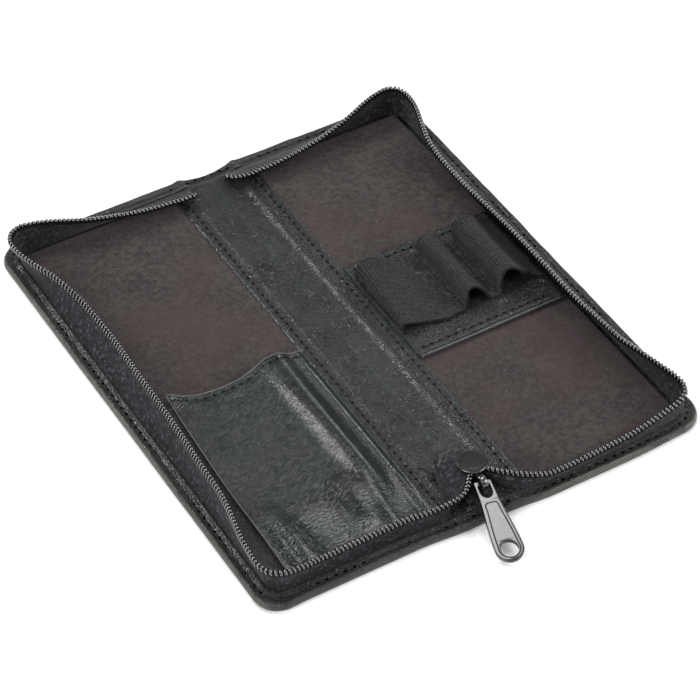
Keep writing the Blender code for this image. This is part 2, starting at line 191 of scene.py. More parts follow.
def slab(name, P, thickness, mat, rim=0.3, uv_scale=None, warped=True, smooth_angle=40.0, both=False, N=None):
    """A leather or cloth piece: top surface P (nu, nv, 3), a thickness below it and rounded cut edges."""
    nu, nv = P.shape[:2]
    if N is None:
        N = grid_normals(P)
    t = thickness if np.ndim(thickness) else np.full((nu, nv), float(thickness))
    B = P - N * t[..., None]
    top = P.copy()
    # the last row at each edge drops to make the edge round
    mid = (P + B) / 2
    edge = np.zeros((nu, nv), bool)
    edge[0, :] = edge[-1, :] = edge[:, 0] = edge[:, -1] = True
    ring = [(0, j) for j in range(nv)] + [(i, nv - 1) for i in range(1, nu)] \
        + [(nu - 1, j) for j in range(nv - 2, -1, -1)] + [(i, 0) for i in range(nu - 2, 0, -1)]
    # outward directions on the rim
    out = np.zeros_like(P)
    out[0, :] += P[0, :] - P[1, :]
    out[-1, :] += P[-1, :] - P[-2, :]
    out[:, 0] += P[:, 0] - P[:, 1]
    out[:, -1] += P[:, -1] - P[:, -2]
    ln = np.linalg.norm(out, axis=2, keepdims=True)
    out = np.where(ln > 1e-9, out / np.maximum(ln, 1e-9), 0)
    rows = []
    for a in (22, 50, 90, 130, 158):
        r = math.radians(a)
        rows.append((math.cos(r), math.sin(r)))
    verts = [top.reshape(-1, 3), B.reshape(-1, 3)]
    faces = grid_faces(nu, nv, 0, flip=both) + grid_faces(nu, nv, nu * nv, flip=not both)
    base = 2 * nu * nv
    m = len(ring)
    I = np.array([r[0] for r in ring])
    J = np.array([r[1] for r in ring])
    for c, s in rows:
        verts.append(mid[I, J] + N[I, J] * (t[I, J][:, None] / 2) * c + out[I, J] * rim * s * 1.0)
    def idx(level, k):
        k %= m
        if level == 0:
            return I[k] * nv + J[k]
        if level == len(rows) + 1:
            return nu * nv + I[k] * nv + J[k]
        return base + (level - 1) * m + k
    for lev in range(len(rows) + 1):
        for k in range(m):
            q = (int(idx(lev, k)), int(idx(lev, k + 1)), int(idx(lev + 1, k + 1)), int(idx(lev + 1, k)))
            faces.append(q[::-1] if not both else q)
    V = np.vstack(verts)
    uvs = None
    if uv_scale is not None:
        su = np.concatenate([[0], np.cumsum(np.linalg.norm(np.diff(P[:, nv // 2], axis=0), axis=1))])
        sv = np.concatenate([[0], np.cumsum(np.linalg.norm(np.diff(P[nu // 2], axis=0), axis=1))])
        U = np.stack(np.meshgrid(su, sv, indexing="ij"), 2).reshape(-1, 2)
        ringuv = np.stack([su[I], sv[J]], 1)
        uvs = np.vstack([U, U] + [ringuv] * len(rows)) * MM
    ob = add_object(name, V, faces, mat, uvs, warped=warped, smooth_angle=smooth_angle)
    bm = bmesh.new()
    bm.from_mesh(ob.data)
    bmesh.ops.recalc_face_normals(bm, faces=bm.faces)
    bm.to_mesh(ob.data)
    bm.free()
    return ob


def tube(P, radius, sides=8, cap=True, up=None, flat=1.0):
    """Verts and faces of a tube along P. radius may be an array. Returned in local numbering."""
    P = np.asarray(P, float)
    n = len(P)
    T = np.gradient(P, axis=0)
    T /= np.maximum(np.linalg.norm(T, axis=1, keepdims=True), 1e-9)
    ref = np.array(up if up is not None else (0, 0, 1.0), float)
    ref = np.broadcast_to(ref, P.shape)
    A = np.cross(T, ref)
    bad = np.linalg.norm(A, axis=1) < 1e-4
    if bad.any():
        A[bad] = np.cross(T[bad], np.array([1.0, 0, 0]))
    A /= np.maximum(np.linalg.norm(A, axis=1, keepdims=True), 1e-9)
    B = np.cross(A, T)
    r = np.broadcast_to(radius, (n,))
    ang = np.linspace(0, 2 * math.pi, sides, endpoint=False)
    V = P[:, None, :] + r[:, None, None] * (np.cos(ang)[None, :, None] * A[:, None, :]
                                           + flat * np.sin(ang)[None, :, None] * B[:, None, :])
    V = V.reshape(-1, 3)
    F = grid_faces(n, sides, 0, wrap_v=True)
    if cap:
        F.append(tuple(range(sides)))
        F.append(tuple(reversed(range((n - 1) * sides, n * sides))))
    return V, F


class Pile:
    """Several small pieces gathered in one mesh."""
    def __init__(self):
        self.v, self.f, self.n = [], [], 0

    def add(self, V, F):
        self.v.append(np.asarray(V, float))
        self.f += [tuple(int(i) + self.n for i in q) for q in F]
        self.n += len(V)

    def make(self, name, mat, warped=True, smooth_angle=50):
        ob = add_object(name, np.vstack(self.v), self.f, mat, warped=warped, smooth_angle=smooth_angle)
        bm = bmesh.new()
        bm.from_mesh(ob.data)
        bmesh.ops.recalc_face_normals(bm, faces=bm.faces)
        bm.to_mesh(ob.data)
        bm.free()
        return ob


def thread_segment(p, q, n, radius=0.24, sink=0.10, arch=0.16):
    """One stitch from p to q on a surface of normal n: a short fat thread, its ends sunk in the needle holes."""
    p, q, n = (np.asarray(a, float) for a in (p, q, n))
    k = 9
    t = np.linspace(0, 1, k)
    P = p[None] + (q - p)[None] * t[:, None]
    h = arch * np.sin(math.pi * t) ** 0.6 - sink - 0.25 * (np.abs(2 * t - 1) ** 6)
    P = P + n[None] * h[:, None]
    r = radius * (1 - 0.35 * np.abs(2 * t - 1) ** 4)
    return tube(P, r, sides=7, up=n)


def pit(p, d, n, length=0.55, width=0.36, depth=0.10):
    """A needle hole: a small dish set in the surface, with its pulled-in rim; its darkness is painted shade from the
    material it is given.
    """
    p, d, n = (np.asarray(a, float) for a in (p, d, n))
    d = d / np.linalg.norm(d)
    s = np.cross(n, d)
    V, F = [], []
    rings = [(1.0, 0.05), (0.86, 0.075), (0.62, 0.03), (0.3, -0.02)]
    m = 10
    for rr, hh in rings:
        for k in range(m):
            a = 2 * math.pi * k / m
            V.append(p + d * length * rr * math.cos(a) + s * width * rr * math.sin(a) + n * hh)
    V.append(p - n * 0.03)
    for i in range(len(rings) - 1):
        for k in range(m):
            F.append((i * m + k, i * m + (k + 1) % m, (i + 1) * m + (k + 1) % m, (i + 1) * m + k))
    last = (len(rings) - 1) * m
    for k in range(m):
        F.append((last + k, last + (k + 1) % m, len(V) - 1))
    # underside closes the little piece inside the leather
    V.append(p - n * 0.35)
    for k in range(m):
        F.append((k, len(V) - 1, (k + 1) % m))
    return np.array(V), F


def stitch_row(threads, holes, P, N, pitch=3.3, stitch=2.35, radius=0.24, phase=0.5, keep=None, arch=0.10, jitter=0.05, seed=3, hole=(0.70, 0.50)):
    """Stitches along the polyline P with surface normals N (both (n, 3))."""
    rng = np.random.RandomState(seed)
    s = np.concatenate([[0], np.cumsum(np.linalg.norm(np.diff(P, axis=0), axis=1))])
    def at(q):
        a = np.array([np.interp(q, s, P[:, j]) for j in range(3)])
        b = np.array([np.interp(q, s, N[:, j]) for j in range(3)])
        return a, b / np.linalg.norm(b)
    q = phase * pitch
    while q + stitch < s[-1]:
        j = rng.uniform(-jitter, jitter, 2) * pitch
        a, na = at(q + j[0])
        b, nb = at(q + stitch + j[1])
        if keep is None or (keep(a) and keep(b)):
            n = (na + nb) / 2
            n /= np.linalg.norm(n)
            threads.add(*thread_segment(a, b, n, radius=radius, arch=arch))
            c, nc = at(q - (pitch - stitch) / 2)
            if holes is not None:
                holes.add(*pit(c, b - a, nc, length=hole[0], width=hole[1]))
        q += pitch


# -------------------------------------------------------------------- materials
def new_material(name):
    m = bpy.data.materials.new(name)
    m.use_nodes = True
    nt = m.node_tree
    p = nt.nodes["Principled BSDF"]
    return m, nt, p


def N_(nt, kind, **props):
    n = nt.nodes.new(kind)
    for k, v in props.items():
        setattr(n, k, v)
    return n


def coords(nt, scale=(1, 1, 1), kind="Object", rotation=(0, 0, 0)):
    tc = N_(nt, "ShaderNodeTexCoord")
    mp = N_(nt, "ShaderNodeMapping")
    mp.inputs["Scale"].default_value = scale
    mp.inputs["Rotation"].default_value = rotation
    nt.links.new(tc.outputs[kind], mp.inputs["Vector"])
    return mp.outputs["Vector"]


def noise(nt, vec, scale, detail=3.0, rough=0.55, distortion=0.0):
    n = N_(nt, "ShaderNodeTexNoise")
    n.inputs["Scale"].default_value = scale
    n.inputs["Detail"].default_value = detail
    n.inputs["Roughness"].default_value = rough
    n.inputs["Distortion"].default_value = distortion
    nt.links.new(vec, n.inputs["Vector"])
    return n.outputs["Fac"]


def voronoi(nt, vec, scale, feature="F1", randomness=1.0):
    n = N_(nt, "ShaderNodeTexVoronoi", feature=feature)
    n.inputs["Scale"].default_value = scale
    n.inputs["Randomness"].default_value = randomness
    nt.links.new(vec, n.inputs["Vector"])
    return n.outputs["Distance"]


def wave(nt, vec, scale, direction="X", distortion=0.0, detail=0.0, dscale=1.0, profile="SIN"):
    n = N_(nt, "ShaderNodeTexWave", wave_type="BANDS", bands_direction=direction, wave_profile=profile)
    n.inputs["Scale"].default_value = scale
    n.inputs["Distortion"].default_value = distortion
    n.inputs["Detail"].default_value = detail
    n.inputs["Detail Scale"].default_value = dscale
    nt.links.new(vec, n.inputs["Vector"])
    return n.outputs["Fac"]


def ramp(nt, fac, stops, interpolation="LINEAR"):
    r = N_(nt, "ShaderNodeValToRGB")
    r.color_ramp.interpolation = interpolation
    el = r.color_ramp.elements
    while len(el) < len(stops):
        el.new(0.5)
    for e, (pos, col) in zip(el, stops):
        e.position = pos
        e.color = (*col, 1.0) if len(col) == 3 else col
    nt.links.new(fac, r.inputs["Fac"])
    return r.outputs["Color"]


def math_(nt, op, a, b=None, c=None, clamp=False):
    n = N_(nt, "ShaderNodeMath", operation=op, use_clamp=clamp)
    for i, v in enumerate((a, b, c)):
        if v is None:
            continue
        if isinstance(v, (int, float)):
            n.inputs[i].default_value = v
        else:
            nt.links.new(v, n.inputs[i])
    return n.outputs[0]


def mix_(nt, fac, a, b, blend="MIX"):
    n = N_(nt, "ShaderNodeMix", data_type="RGBA", blend_type=blend)
    for sock, v in ((n.inputs[0], fac), (n.inputs[6], a), (n.inputs[7], b)):
        if isinstance(v, (int, float)):
            sock.default_value = v
        elif isinstance(v, tuple):
            sock.default_value = (*v, 1.0) if len(v) == 3 else v
        else:
            nt.links.new(v, sock)
    return n.outputs[2]


def map_range(nt, v, a, b, c, d):
    n = N_(nt, "ShaderNodeMapRange")
    n.inputs["From Min"].default_value = a
    n.inputs["From Max"].default_value = b
    n.inputs["To Min"].default_value = c
    n.inputs["To Max"].default_value = d
    nt.links.new(v, n.inputs["Value"])
    return n.outputs["Result"]


def bump(nt, height, distance, strength=1.0, normal=None):
    b = N_(nt, "ShaderNodeBump")
    b.inputs["Distance"].default_value = distance
    b.inputs["Strength"].default_value = strength
    nt.links.new(height, b.inputs["Height"])
    if normal is not None:
        nt.links.new(normal, b.inputs["Normal"])
    return b.outputs["Normal"]


def leather(name, dark, light, rough=(0.36, 0.52), grain=1250.0, grain_depth=0.00011, micro=0.00010, crease=0.00010, crease_scale=170.0, stretch=(1, 1, 1), coat=0.0, worn=0.35):
    m, nt, p = new_material(name)
    v = coords(nt, stretch)
    broad = noise(nt, v, 28.0, 3.0)
    mid = noise(nt, v, 130.0, 4.0, 0.6)
    fine = noise(nt, v, 900.0, 3.0, 0.6)
    mixf = math_(nt, "ADD", math_(nt, "MULTIPLY", broad, 0.5), math_(nt, "ADD", math_(nt, "MULTIPLY", mid, 0.3), math_(nt, "MULTIPLY", fine, 0.2)))
    col = ramp(nt, mixf, [(0.36, dark), (0.64, light)])
    cell = voronoi(nt, v, grain, "DISTANCE_TO_EDGE")
    cellmask = map_range(nt, cell, 0.0, 0.16, 0.0, 1.0)
    col = mix_(nt, map_range(nt, cell, 0.0, 0.10, 0.40, 0.0), col, tuple(c * 0.45 for c in dark))
    # wear: proud edges go a little paler
    geo = N_(nt, "ShaderNodeNewGeometry")
    edge = map_range(nt, geo.outputs["Pointiness"], 0.515, 0.60, 0.0, worn)
    col = mix_(nt, edge, col, tuple(min(1.0, c * 3.2 + 0.01) for c in light))
    nt.links.new(col, p.inputs["Base Color"])
    r = map_range(nt, math_(nt, "ADD", math_(nt, "MULTIPLY", mid, 0.6), math_(nt, "MULTIPLY", cellmask, -0.12)), 0.1, 0.42, rough[0], rough[1])
    nt.links.new(r, p.inputs["Roughness"])
    p.inputs["IOR"].default_value = 1.48
    cr = noise(nt, v, crease_scale, 5.0, 0.62, 0.6)
    cre = math_(nt, "ABSOLUTE", math_(nt, "SUBTRACT", cr, 0.5))
    cre = map_range(nt, cre, 0.0, 0.06, 0.0, 1.0)
    n1 = bump(nt, cre, crease, 0.5)
    n2 = bump(nt, cellmask, grain_depth, 1.0, n1)
    n3 = bump(nt, fine, micro, 0.8, n2)
    nt.links.new(n3, p.inputs["Normal"])
    if coat:
        p.inputs["Coat Weight"].default_value = coat
        p.inputs["Coat Roughness"].default_value = 0.35
    return m


LEATHER = leather("leather_cover", (0.0080, 0.0092, 0.0083), (0.0250, 0.0275, 0.0248), rough=(0.28, 0.42), grain_depth=0.00017, micro=0.00020)
# paler copy of the cover leather for the turned edge's shoulder: partly wear, partly painted highlight
LEATHER_WORN_AND_HIGHLIGHT = leather("leather_worn_edge_and_painted_highlight", (0.0160, 0.0150, 0.0125), (0.0980, 0.0900, 0.0750), rough=(0.34, 0.5), grain_depth=0.00020, micro=0.00024)
LEATHER_STRIP = leather("leather_strip", (0.0055, 0.0072, 0.0068), (0.0200, 0.0235, 0.0224), rough=(0.24, 0.38), grain_depth=0.00015, micro=0.00017)
LEATHER_POCKET = leather("leather_pocket", (0.0022, 0.0042, 0.0041), (0.0070, 0.0108, 0.0105), rough=(0.17, 0.27), worn=0.12, grain_depth=0.00003, micro=0.00004, crease=0.000035, crease_scale=90.0, stretch=(0.35, 1.3, 1))
LEATHER_UNDER = leather("leather_underlayer", (0.010, 0.013, 0.012), (0.028, 0.032, 0.030), rough=(0.42, 0.6))


def suede_material(name, dark, light, red):
    m, nt, p = new_material(name)
    v = coords(nt)
    broad = noise(nt, v, 22.0, 3.0, 0.55)
    mott = noise(nt, v, 75.0, 4.0, 0.6, 0.3)
    fib = noise(nt, coords(nt, (1.0, 0.45, 1.0), rotation=(0, 0, 0.6)), 1500.0, 4.0, 0.65)
    blotch = noise(nt, v, 560.0, 4.0, 0.75)
    col = ramp(nt, math_(nt, "ADD", math_(nt, "MULTIPLY", mott, 0.28), math_(nt, "MULTIPLY", blotch, 0.72)), [(0.43, dark), (0.58, light)])
    col = mix_(nt, map_range(nt, broad, 0.40, 0.66, 0.0, 0.75), col, red)
    col = mix_(nt, map_range(nt, fib, 0.30, 0.75, 0.0, 0.30), col, tuple(min(1, c * 1.9) for c in light))
    speck = noise(nt, v, 620.0, 2.0, 0.5)
    col = mix_(nt, map_range(nt, speck, 0.755, 0.80, 0.0, 0.65), col, (0.20, 0.17, 0.15))
    nt.links.new(col, p.inputs["Base Color"])
    p.inputs["Roughness"].default_value = 0.95
    p.inputs["Specular IOR Level"].default_value = 0.22
    p.inputs["Sheen Weight"].default_value = 0.18
    p.inputs["Sheen Roughness"].default_value = 0.55
    p.inputs["Sheen Tint"].default_value = (0.85, 0.74, 0.72, 1.0)
    n1 = bump(nt, mott, 0.0002, 0.4)
    n2 = bump(nt, fib, 0.00012, 0.9, n1)
    nt.links.new(n2, p.inputs["Normal"])
    return m


SUEDE = suede_material("suede_brown_black", (0.0022, 0.0019, 0.0019), (0.0300, 0.0265, 0.0250), (0.0285, 0.0150, 0.0165))


def woven(name, dark, light, u_scale, v_scale, depth=0.00012, kind="UV", rough=0.86, fleck=0.0, sheen=0.2, flecks=1400.0, ribs=0.65):
    """A woven cloth: warp and weft on the piece's own length and width (UV in metres)."""
    m, nt, p = new_material(name)
    v = coords(nt, (1, 1, 1), kind)
    wu = wave(nt, v, u_scale, "X", 0.4, 1.0, 2.0)
    wv = wave(nt, v, v_scale, "Y", 0.4, 1.0, 2.0)
    weave = math_(nt, "MULTIPLY", wu, wv)
    o = coords(nt)
    hv = noise(nt, o, flecks, 3.0, 0.7)
    hb = noise(nt, o, 260.0, 3.0, 0.6)
    col = ramp(nt, hv, [(0.38, dark), (0.62, light)])
    col = mix_(nt, map_range(nt, hb, 0.35, 0.7, 0.0, 0.5), col, tuple(c * 0.65 for c in dark))
    col = mix_(nt, map_range(nt, weave, 0.0, 0.55, ribs, 0.0), col, tuple(c * 0.35 for c in dark))
    if fleck:
        col = mix_(nt, map_range(nt, hv, 0.59, 0.68, 0.0, fleck), col, tuple(min(1, c * 3.0) for c in light))
    nt.links.new(col, p.inputs["Base Color"])
    p.inputs["Roughness"].default_value = rough
    p.inputs["Specular IOR Level"].default_value = 0.3
    p.inputs["Sheen Weight"].default_value = sheen
    p.inputs["Sheen Roughness"].default_value = 0.5
    p.inputs["Sheen Tint"].default_value = (0.8, 0.82, 0.86, 1.0)
    n1 = bump(nt, weave, depth, 0.9)
    n2 = bump(nt, hv, 0.0001, 0.5, n1)
    nt.links.new(n2, p.inputs["Normal"])
    return m


TAPE = woven("zip_tape_weave", (0.0016, 0.0016, 0.0024), (0.0290, 0.0290, 0.0345), 420.0, 520.0, fleck=0.8, flecks=760.0, ribs=0.3, depth=0.00005, sheen=0.08)
# a paler copy of the tape cloth: painted highlight on the rolled rim and the thread tail
TAPE_RIM_PAINTED_HIGHLIGHT = woven("zip_tape_rolled_rim_painted_highlight", (0.0200, 0.0225, 0.0215), (0.0800, 0.0840, 0.0800), 420.0, 520.0, kind="Object", rough=0.5, sheen=0.1, ribs=0.5)
ELASTIC = woven("elastic_weave", (0.0040, 0.0045, 0.0041), (0.0640, 0.0670, 0.0610), 300.0, 430.0, depth=0.00034, sheen=0.06, ribs=0.9)


# darker, rougher copy of the webbing: crushed weave, plus painted shade for the valleys between the loops
ELASTIC_ROUGH_SHADED = woven("elastic_rough_weave_painted_shade", (0.0040, 0.0040, 0.0036), (0.0440, 0.0430, 0.0390), 300.0, 430.0, depth=0.00030, sheen=0.05, ribs=0.4, flecks=700.0, fleck=0.4)


def gloss(name, base, rough, metallic=0.0, coat=0.0, scale=900.0, depth=0.00002, vary=0.10, ior=1.5):
    m, nt, p = new_material(name)
    v = coords(nt)
    n = noise(nt, v, scale, 3.0, 0.6)
    b = noise(nt, v, 120.0, 3.0, 0.6)
    col = ramp(nt, b, [(0.3, tuple(c * (1 - 2 * vary) for c in base)), (0.7, tuple(min(1, c * (1 + 2 * vary)) for c in base))])
    nt.links.new(col, p.inputs["Base Color"])
    nt.links.new(map_range(nt, n, 0.3, 0.7, rough * 0.8, rough * 1.25), p.inputs["Roughness"])
    p.inputs["Metallic"].default_value = metallic
    p.inputs["IOR"].default_value = ior
    if coat:
        p.inputs["Coat Weight"].default_value = coat
        p.inputs["Coat Roughness"].default_value = 0.08
    nt.links.new(bump(nt, n, depth, 0.5), p.inputs["Normal"])
    return m


COIL = gloss("coil_black_nylon", (0.002, 0.002, 0.003), 0.14, ior=1.90, coat=0.7)
CORD = gloss("coil_core_cord", (0.004, 0.004, 0.005), 0.80, ior=1.35)
METAL = gloss("slider_black_lacquer", (0.010, 0.0105, 0.011), 0.22, coat=0.6, ior=1.8)
PULL_METAL = gloss("pull_black_lacquer", (0.010, 0.0105, 0.011), 0.17, coat=0.35, ior=1.55, depth=0.00001)
CAP_METAL = gloss("slider_cap_lacquer", (0.012, 0.0135, 0.013), 0.26, ior=1.32)
# dark, rough copy for the pull's groove floor: painted shade in the groove
GROOVE_PAINTED_SHADE = gloss("pull_groove_painted_shade", (0.004, 0.004, 0.004), 0.6)
THREAD = woven("sewing_thread_black", (0.010, 0.011, 0.0108), (0.026, 0.028, 0.027), 900.0, 900.0, kind="Object", rough=0.5, sheen=0.05)
THREAD_DARK = woven("sewing_thread_deep_black", (0.0025, 0.0025, 0.003), (0.009, 0.009, 0.010), 900.0, 900.0, kind="Object", rough=0.6, sheen=0.05)
# near-black and almost unreflecting: painted shade in the needle holes
HOLE_PAINTED_SHADE = gloss("needle_hole_painted_shade", (0.0012, 0.0012, 0.0013), 0.95, depth=0.00001)
HOLE_PAINTED_SHADE.node_tree.nodes["Principled BSDF"].inputs["Specular IOR Level"].default_value = 0.04
# pale raw cut-edge leather, made brighter still to paint the highlight that cut edges catch
EDGE_PALE_AND_HIGHLIGHT = leather("leather_cut_edge_painted_highlight", (0.085, 0.090, 0.082), (0.17, 0.17, 0.155), rough=(0.55, 0.7), worn=0.0)
BOARD = suede_material("fibre_board_grey", (0.22, 0.21, 0.19), (0.34, 0.33, 0.30), (0.30, 0.28, 0.25))


# ===================================================================== the cover
# the leather's cross-section, from under the case round the edge to the groove
# by the zip: inset from the outline, height
PROFILE = [(12.0, 0.02), (8.0, 0.02), (4.0, 0.02), (1.8, 0.03), (0.85, 0.12), (0.35, 0.38), (0.10, 0.80), (-0.05, 1.35),
           (-0.10, 1.90), (-0.02, 2.40), (0.12, 2.80), (0.34, 3.12), (0.64, 3.31), (0.98, 3.36), (1.32, 3.28),
           (1.70, 3.12), (2.10, 3.02), (2.45, 2.94), (2.62, 2.90), (2.80, 2.93), (3.15, 3.05), (3.55, 3.19),
           (3.95, 3.33), (4.30, 3.44), (4.60, 3.46), (4.85, 3.37), (5.02, 3.17), (5.08, 2.88), (5.02, 2.50),
           (4.80, 2.20), (4.30, 2.02), (3.2, 1.95), (1.9, 1.9), (1.35, 1.6), (1.15, 1.25), (1.4, 1.02), (4.0, 1.0), (8.0, 1.0), (12.0, 1.0)]


def seg_points():
    return [p for p in PROFILE]


def inner_radius(d):
    return max(CORNER_R - d + 1.5 * float(smoothstep(d / 3.5)), 0.0)


def station_list():
    xs = list(np.arange(0.0, BLEND0, 1.5)) + list(np.arange(BLEND0, BLEND1, 0.5))
    xs += list(np.linspace(BLEND1, HALF_W - CORNER_R, 34))
    ys = list(np.linspace(HALF_L - CORNER_R, -(HALF_L - CORNER_R), 98))
    st = [("far", x, 0.0) for x in xs]
    st += [("cf", a, 0.0) for a in np.linspace(math.pi / 2, 0, 15)[1:-1]]
    st += [("side", y, 0.0) for y in ys]
    st += [("cn", a, 0.0) for a in np.linspace(0, -math.pi / 2, 15)[1:-1]]
    st += [("near", x, 0.0) for x in xs[::-1]]
    return xs, ys, st


def squeeze(v, start, end0, end):
    """Keeps a coordinate up to start, and fits the rest into a shorter or longer way."""
    if abs(v) <= start:
        return v
    s = 1 if v > 0 else -1
    return s * (start + (abs(v) - start) * (end - start) / (end0 - start))


def place(st, d):
    kind, q, _ = st
    r = inner_radius(d)
    ex, ey = HALF_W - d - r, HALF_L - d - r
    if kind == "far":
        return squeeze(q, 50.0, HALF_W - CORNER_R, ex), HALF_L - d, 0.0, 1.0
    if kind == "near":
        return squeeze(q, 50.0, HALF_W - CORNER_R, ex), -(HALF_L - d), 0.0, -1.0
    if kind == "side":
        return HALF_W - d, squeeze(q, 62.0, HALF_L - CORNER_R, ey), 1.0, 0.0
    c, s = math.cos(q), math.sin(q)
    return ex + r * c, (ey if kind == "cf" else -ey) + r * s, c, s


def soft_edge(x, y, d, z, nx, ny, side):
    """Hand-made unevenness of the turned edge: a little in and out, a little up and down, puckers in the corners."""
    along = x * abs(ny) + y * abs(nx) + 3.0 * side
    a = fbm(np.array([along]), np.array([d * 0.6 + 40 * side]), 9.0, 11)[0]
    b = fbm(np.array([along]), np.array([d * 0.8 + 40 * side + 9]), 4.2, 21)[0]
    c = fbm(np.array([x * 1.0]), np.array([y * 1.0 + 7 * d]), 26.0, 31)[0]
    top = float(smoothstep((z - 0.6) / 1.8))
    corner = float(bump_at(math.hypot(abs(x) - 77.0, abs(y) - 90.0), 0.0, 9.0))
    ang = math.atan2(abs(y) - 84.0, abs(x) - 71.0)
    pucker = 0.13 * corner * math.sin(ang * 21.0 + 1.3 * side + a) * (1 if 0.3 < d < 5.0 else 0.35)
    dz = top * (0.13 * a + 0.06 * b + pucker)
    dd = top * (0.12 * b + 0.22 * c) + (1 - top) * 0.12 * c
    return dz, dd


def cover_half(side):
    name = "left" if side < 0 else "right"
    xs, ys, st = station_list()
    prof = seg_points()
    nS, nP = len(st), len(prof)
    V = np.zeros((nS, nP, 3))
    UV = np.zeros((nS, nP, 2))
    for i, s in enumerate(st):
        for j, (d, z) in enumerate(prof):
            x, y, nx, ny = place(s, d)
            if d < 11.9 and z > 0.05:
                dz, dd = soft_edge(side * x, y, d, z, nx, ny, side)
                fade = 1.0 if d < 6 else 0.0
                # the spine's ends are a little lower and fold softly
                ridge = 0.0
                if s[0] in ("far", "near"):
                    ridge = -0.22 * float(bump_at(x, 0.0, 6.0)) * float(smoothstep((z - 1.0) / 2.0))
                    ridge += 0.42 * float(bump_at(x, 10.6, 1.5)) * float(smoothstep((z - 1.2) / 2.0)) * (1 if side > 0 else 0.7)
                    if s[0] == "far":
                        spine_end = float(bump_at(x, 0.0, 7.5))
                        ridge -= 0.75 * spine_end * float(smoothstep((z - 1.0) / 2.0))
                        ridge += 0.55 * float(bump_at(x, 10.8, 2.2)) * float(smoothstep((z - 1.2) / 2.0))
                        dd = dd - 0.9 * spine_end * float(smoothstep((z - 0.3) / 1.2)) * float(smoothstep((3.4 - d) / 2.0))
                z2 = z + (dz + ridge) * fade
                x, y = x + nx * dd * fade, y + ny * dd * fade
            else:
                z2 = z
            V[i, j] = (side * x, y, z2)
            UV[i, j] = (side * x, y)
    verts = [V.reshape(-1, 3)]
    faces = grid_faces(nS, nP, 0, flip=side < 0)
    base = nS * nP
    # the flat floor, from above and below
    gx = [place(("far", x, 0), 12.0)[0] for x in xs]
    gy = [place(("side", y, 0), 12.0)[1] for y in ys]
    for level, z in (("under", 0.02), ("top", 1.0)):
        G = np.array([[(side * x, y, z) for y in gy] for x in gx])
        verts.append(G.reshape(-1, 3))
        faces += grid_faces(len(gx), len(gy), base, flip=(level == "under") ^ (side < 0))
        base += len(gx) * len(gy)
    ob = add_object("case_leather_" + name, np.vstack(verts), faces, LEATHER, weld=True, smooth_angle=60)
    # the turned edge is paler along its outer shoulder: partly rubbed wear, partly a painted highlight where the rolled
    # edge catches the light
    ob.data.materials.append(LEATHER_WORN_AND_HIGHLIGHT)
    for poly in ob.data.polygons:
        c = poly.center / MM
        if c.z > 1.6 and poly.normal.z < 0.93:
            ax, ay = abs(c.x), abs(c.y)
            corner = math.hypot(max(ax - (HALF_W - CORNER_R), 0), max(ay - (HALF_L - CORNER_R), 0)) if ax > HALF_W - CORNER_R and ay > HALF_L - CORNER_R - 1.3 else 0
            d = CORNER_R - corner if corner else min(HALF_W - ax, HALF_L + 1.3 * (c.y < 0) - ay)
            if d < 0.75 + 0.5 * float(vnoise(np.array([c.x * 0.13]), np.array([c.y * 0.13]), 191)[0]):
                poly.material_index = 1
    return ob


covers = {}
for side in (-1, 1):
    covers[side] = cover_half(side)

PANEL = {-1: "left_panel", 1: "right_panel"}
TAG = {-1: "left", 1: "right"}


def bend(ob):
    """Bakes the piece's transform into its mesh; nothing is bent at the fold."""
    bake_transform(ob)
    return ob


for side in (-1, 1):
    bend(covers[side])
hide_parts("cover_left", "cover_spine")
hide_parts("cover_right")


def border_line(side, d, z_of, step=0.6):
    """Points along the turned edge at an inset d, with normals up."""
    pts = []
    r = inner_radius(d)
    ex, ey = HALF_W - d - r, HALF_L - d - r
    for x in np.arange(0.4, ex, step):
        pts.append((side * x, HALF_L - d))
    for a in np.linspace(math.pi / 2, 0, 14):
        pts.append((side * (ex + r * math.cos(a)), ey + r * math.sin(a)))
    for y in np.arange(ey - step, -ey, -step):
        pts.append((side * (HALF_W - d), y))
    for a in np.linspace(0, -math.pi / 2, 14):
        pts.append((side * (ex + r * math.cos(a)), -ey + r * math.sin(a)))
    for x in np.arange(ex - step, 0.3, -step):
        pts.append((side * x, -(HALF_L - d)))
    P = np.array([(x, y, z_of) for x, y in pts])
    N = np.tile(np.array([0, 0, 1.0]), (len(P), 1))
    return P, N


for side in (-1, 1):
    th, ho = Pile(), Pile()
    P, N = border_line(side, 2.62, 2.93)
    stitch_row(th, ho, P, N, pitch=3.3, stitch=2.3, radius=0.23, seed=5 + side, arch=0.10)
    t = th.make("border_stitches_" + TAG[side], THREAD)
    h = ho.make("border_needle_holes_" + TAG[side], HOLE_PAINTED_SHADE)
    for o in (t, h):
        bend(o)

# ================================================================== suede linings
for side in (-1, 1):
    xs = np.linspace(15.9, 75.2, 62)
    ys = np.linspace(-88.6, 88.6, 150)
    X, Y = np.meshgrid(xs, ys, indexing="ij")
    # it stays flat under the strip, swells a little and turns down at its sewn edge
    Z = 2.80 + 0.10 * fbm(X * side, Y, 30.0, 41 + side, 2) + 0.05 * fbm(X * side, Y, 9.0, 51 + side, 2)
    edge = np.minimum(75.2 - X, np.minimum(88.6 - Y, 88.6 + Y))
    Z += -0.45 * (1 - smoothstep(edge / 2.2)) + 0.05 * bump_at(edge, 3.6, 1.4)
    Z = np.where(X < 17.2, np.minimum(Z, 2.68), Z)
    P = np.stack([X * side, Y, Z], 2)
    ln = slab("suede_lining_" + TAG[side], P if side > 0 else P[:, ::-1], 0.4, SUEDE, rim=0.12, uv_scale=1)
    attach(ln, PANEL[side])
    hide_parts("lining_" + TAG[side])

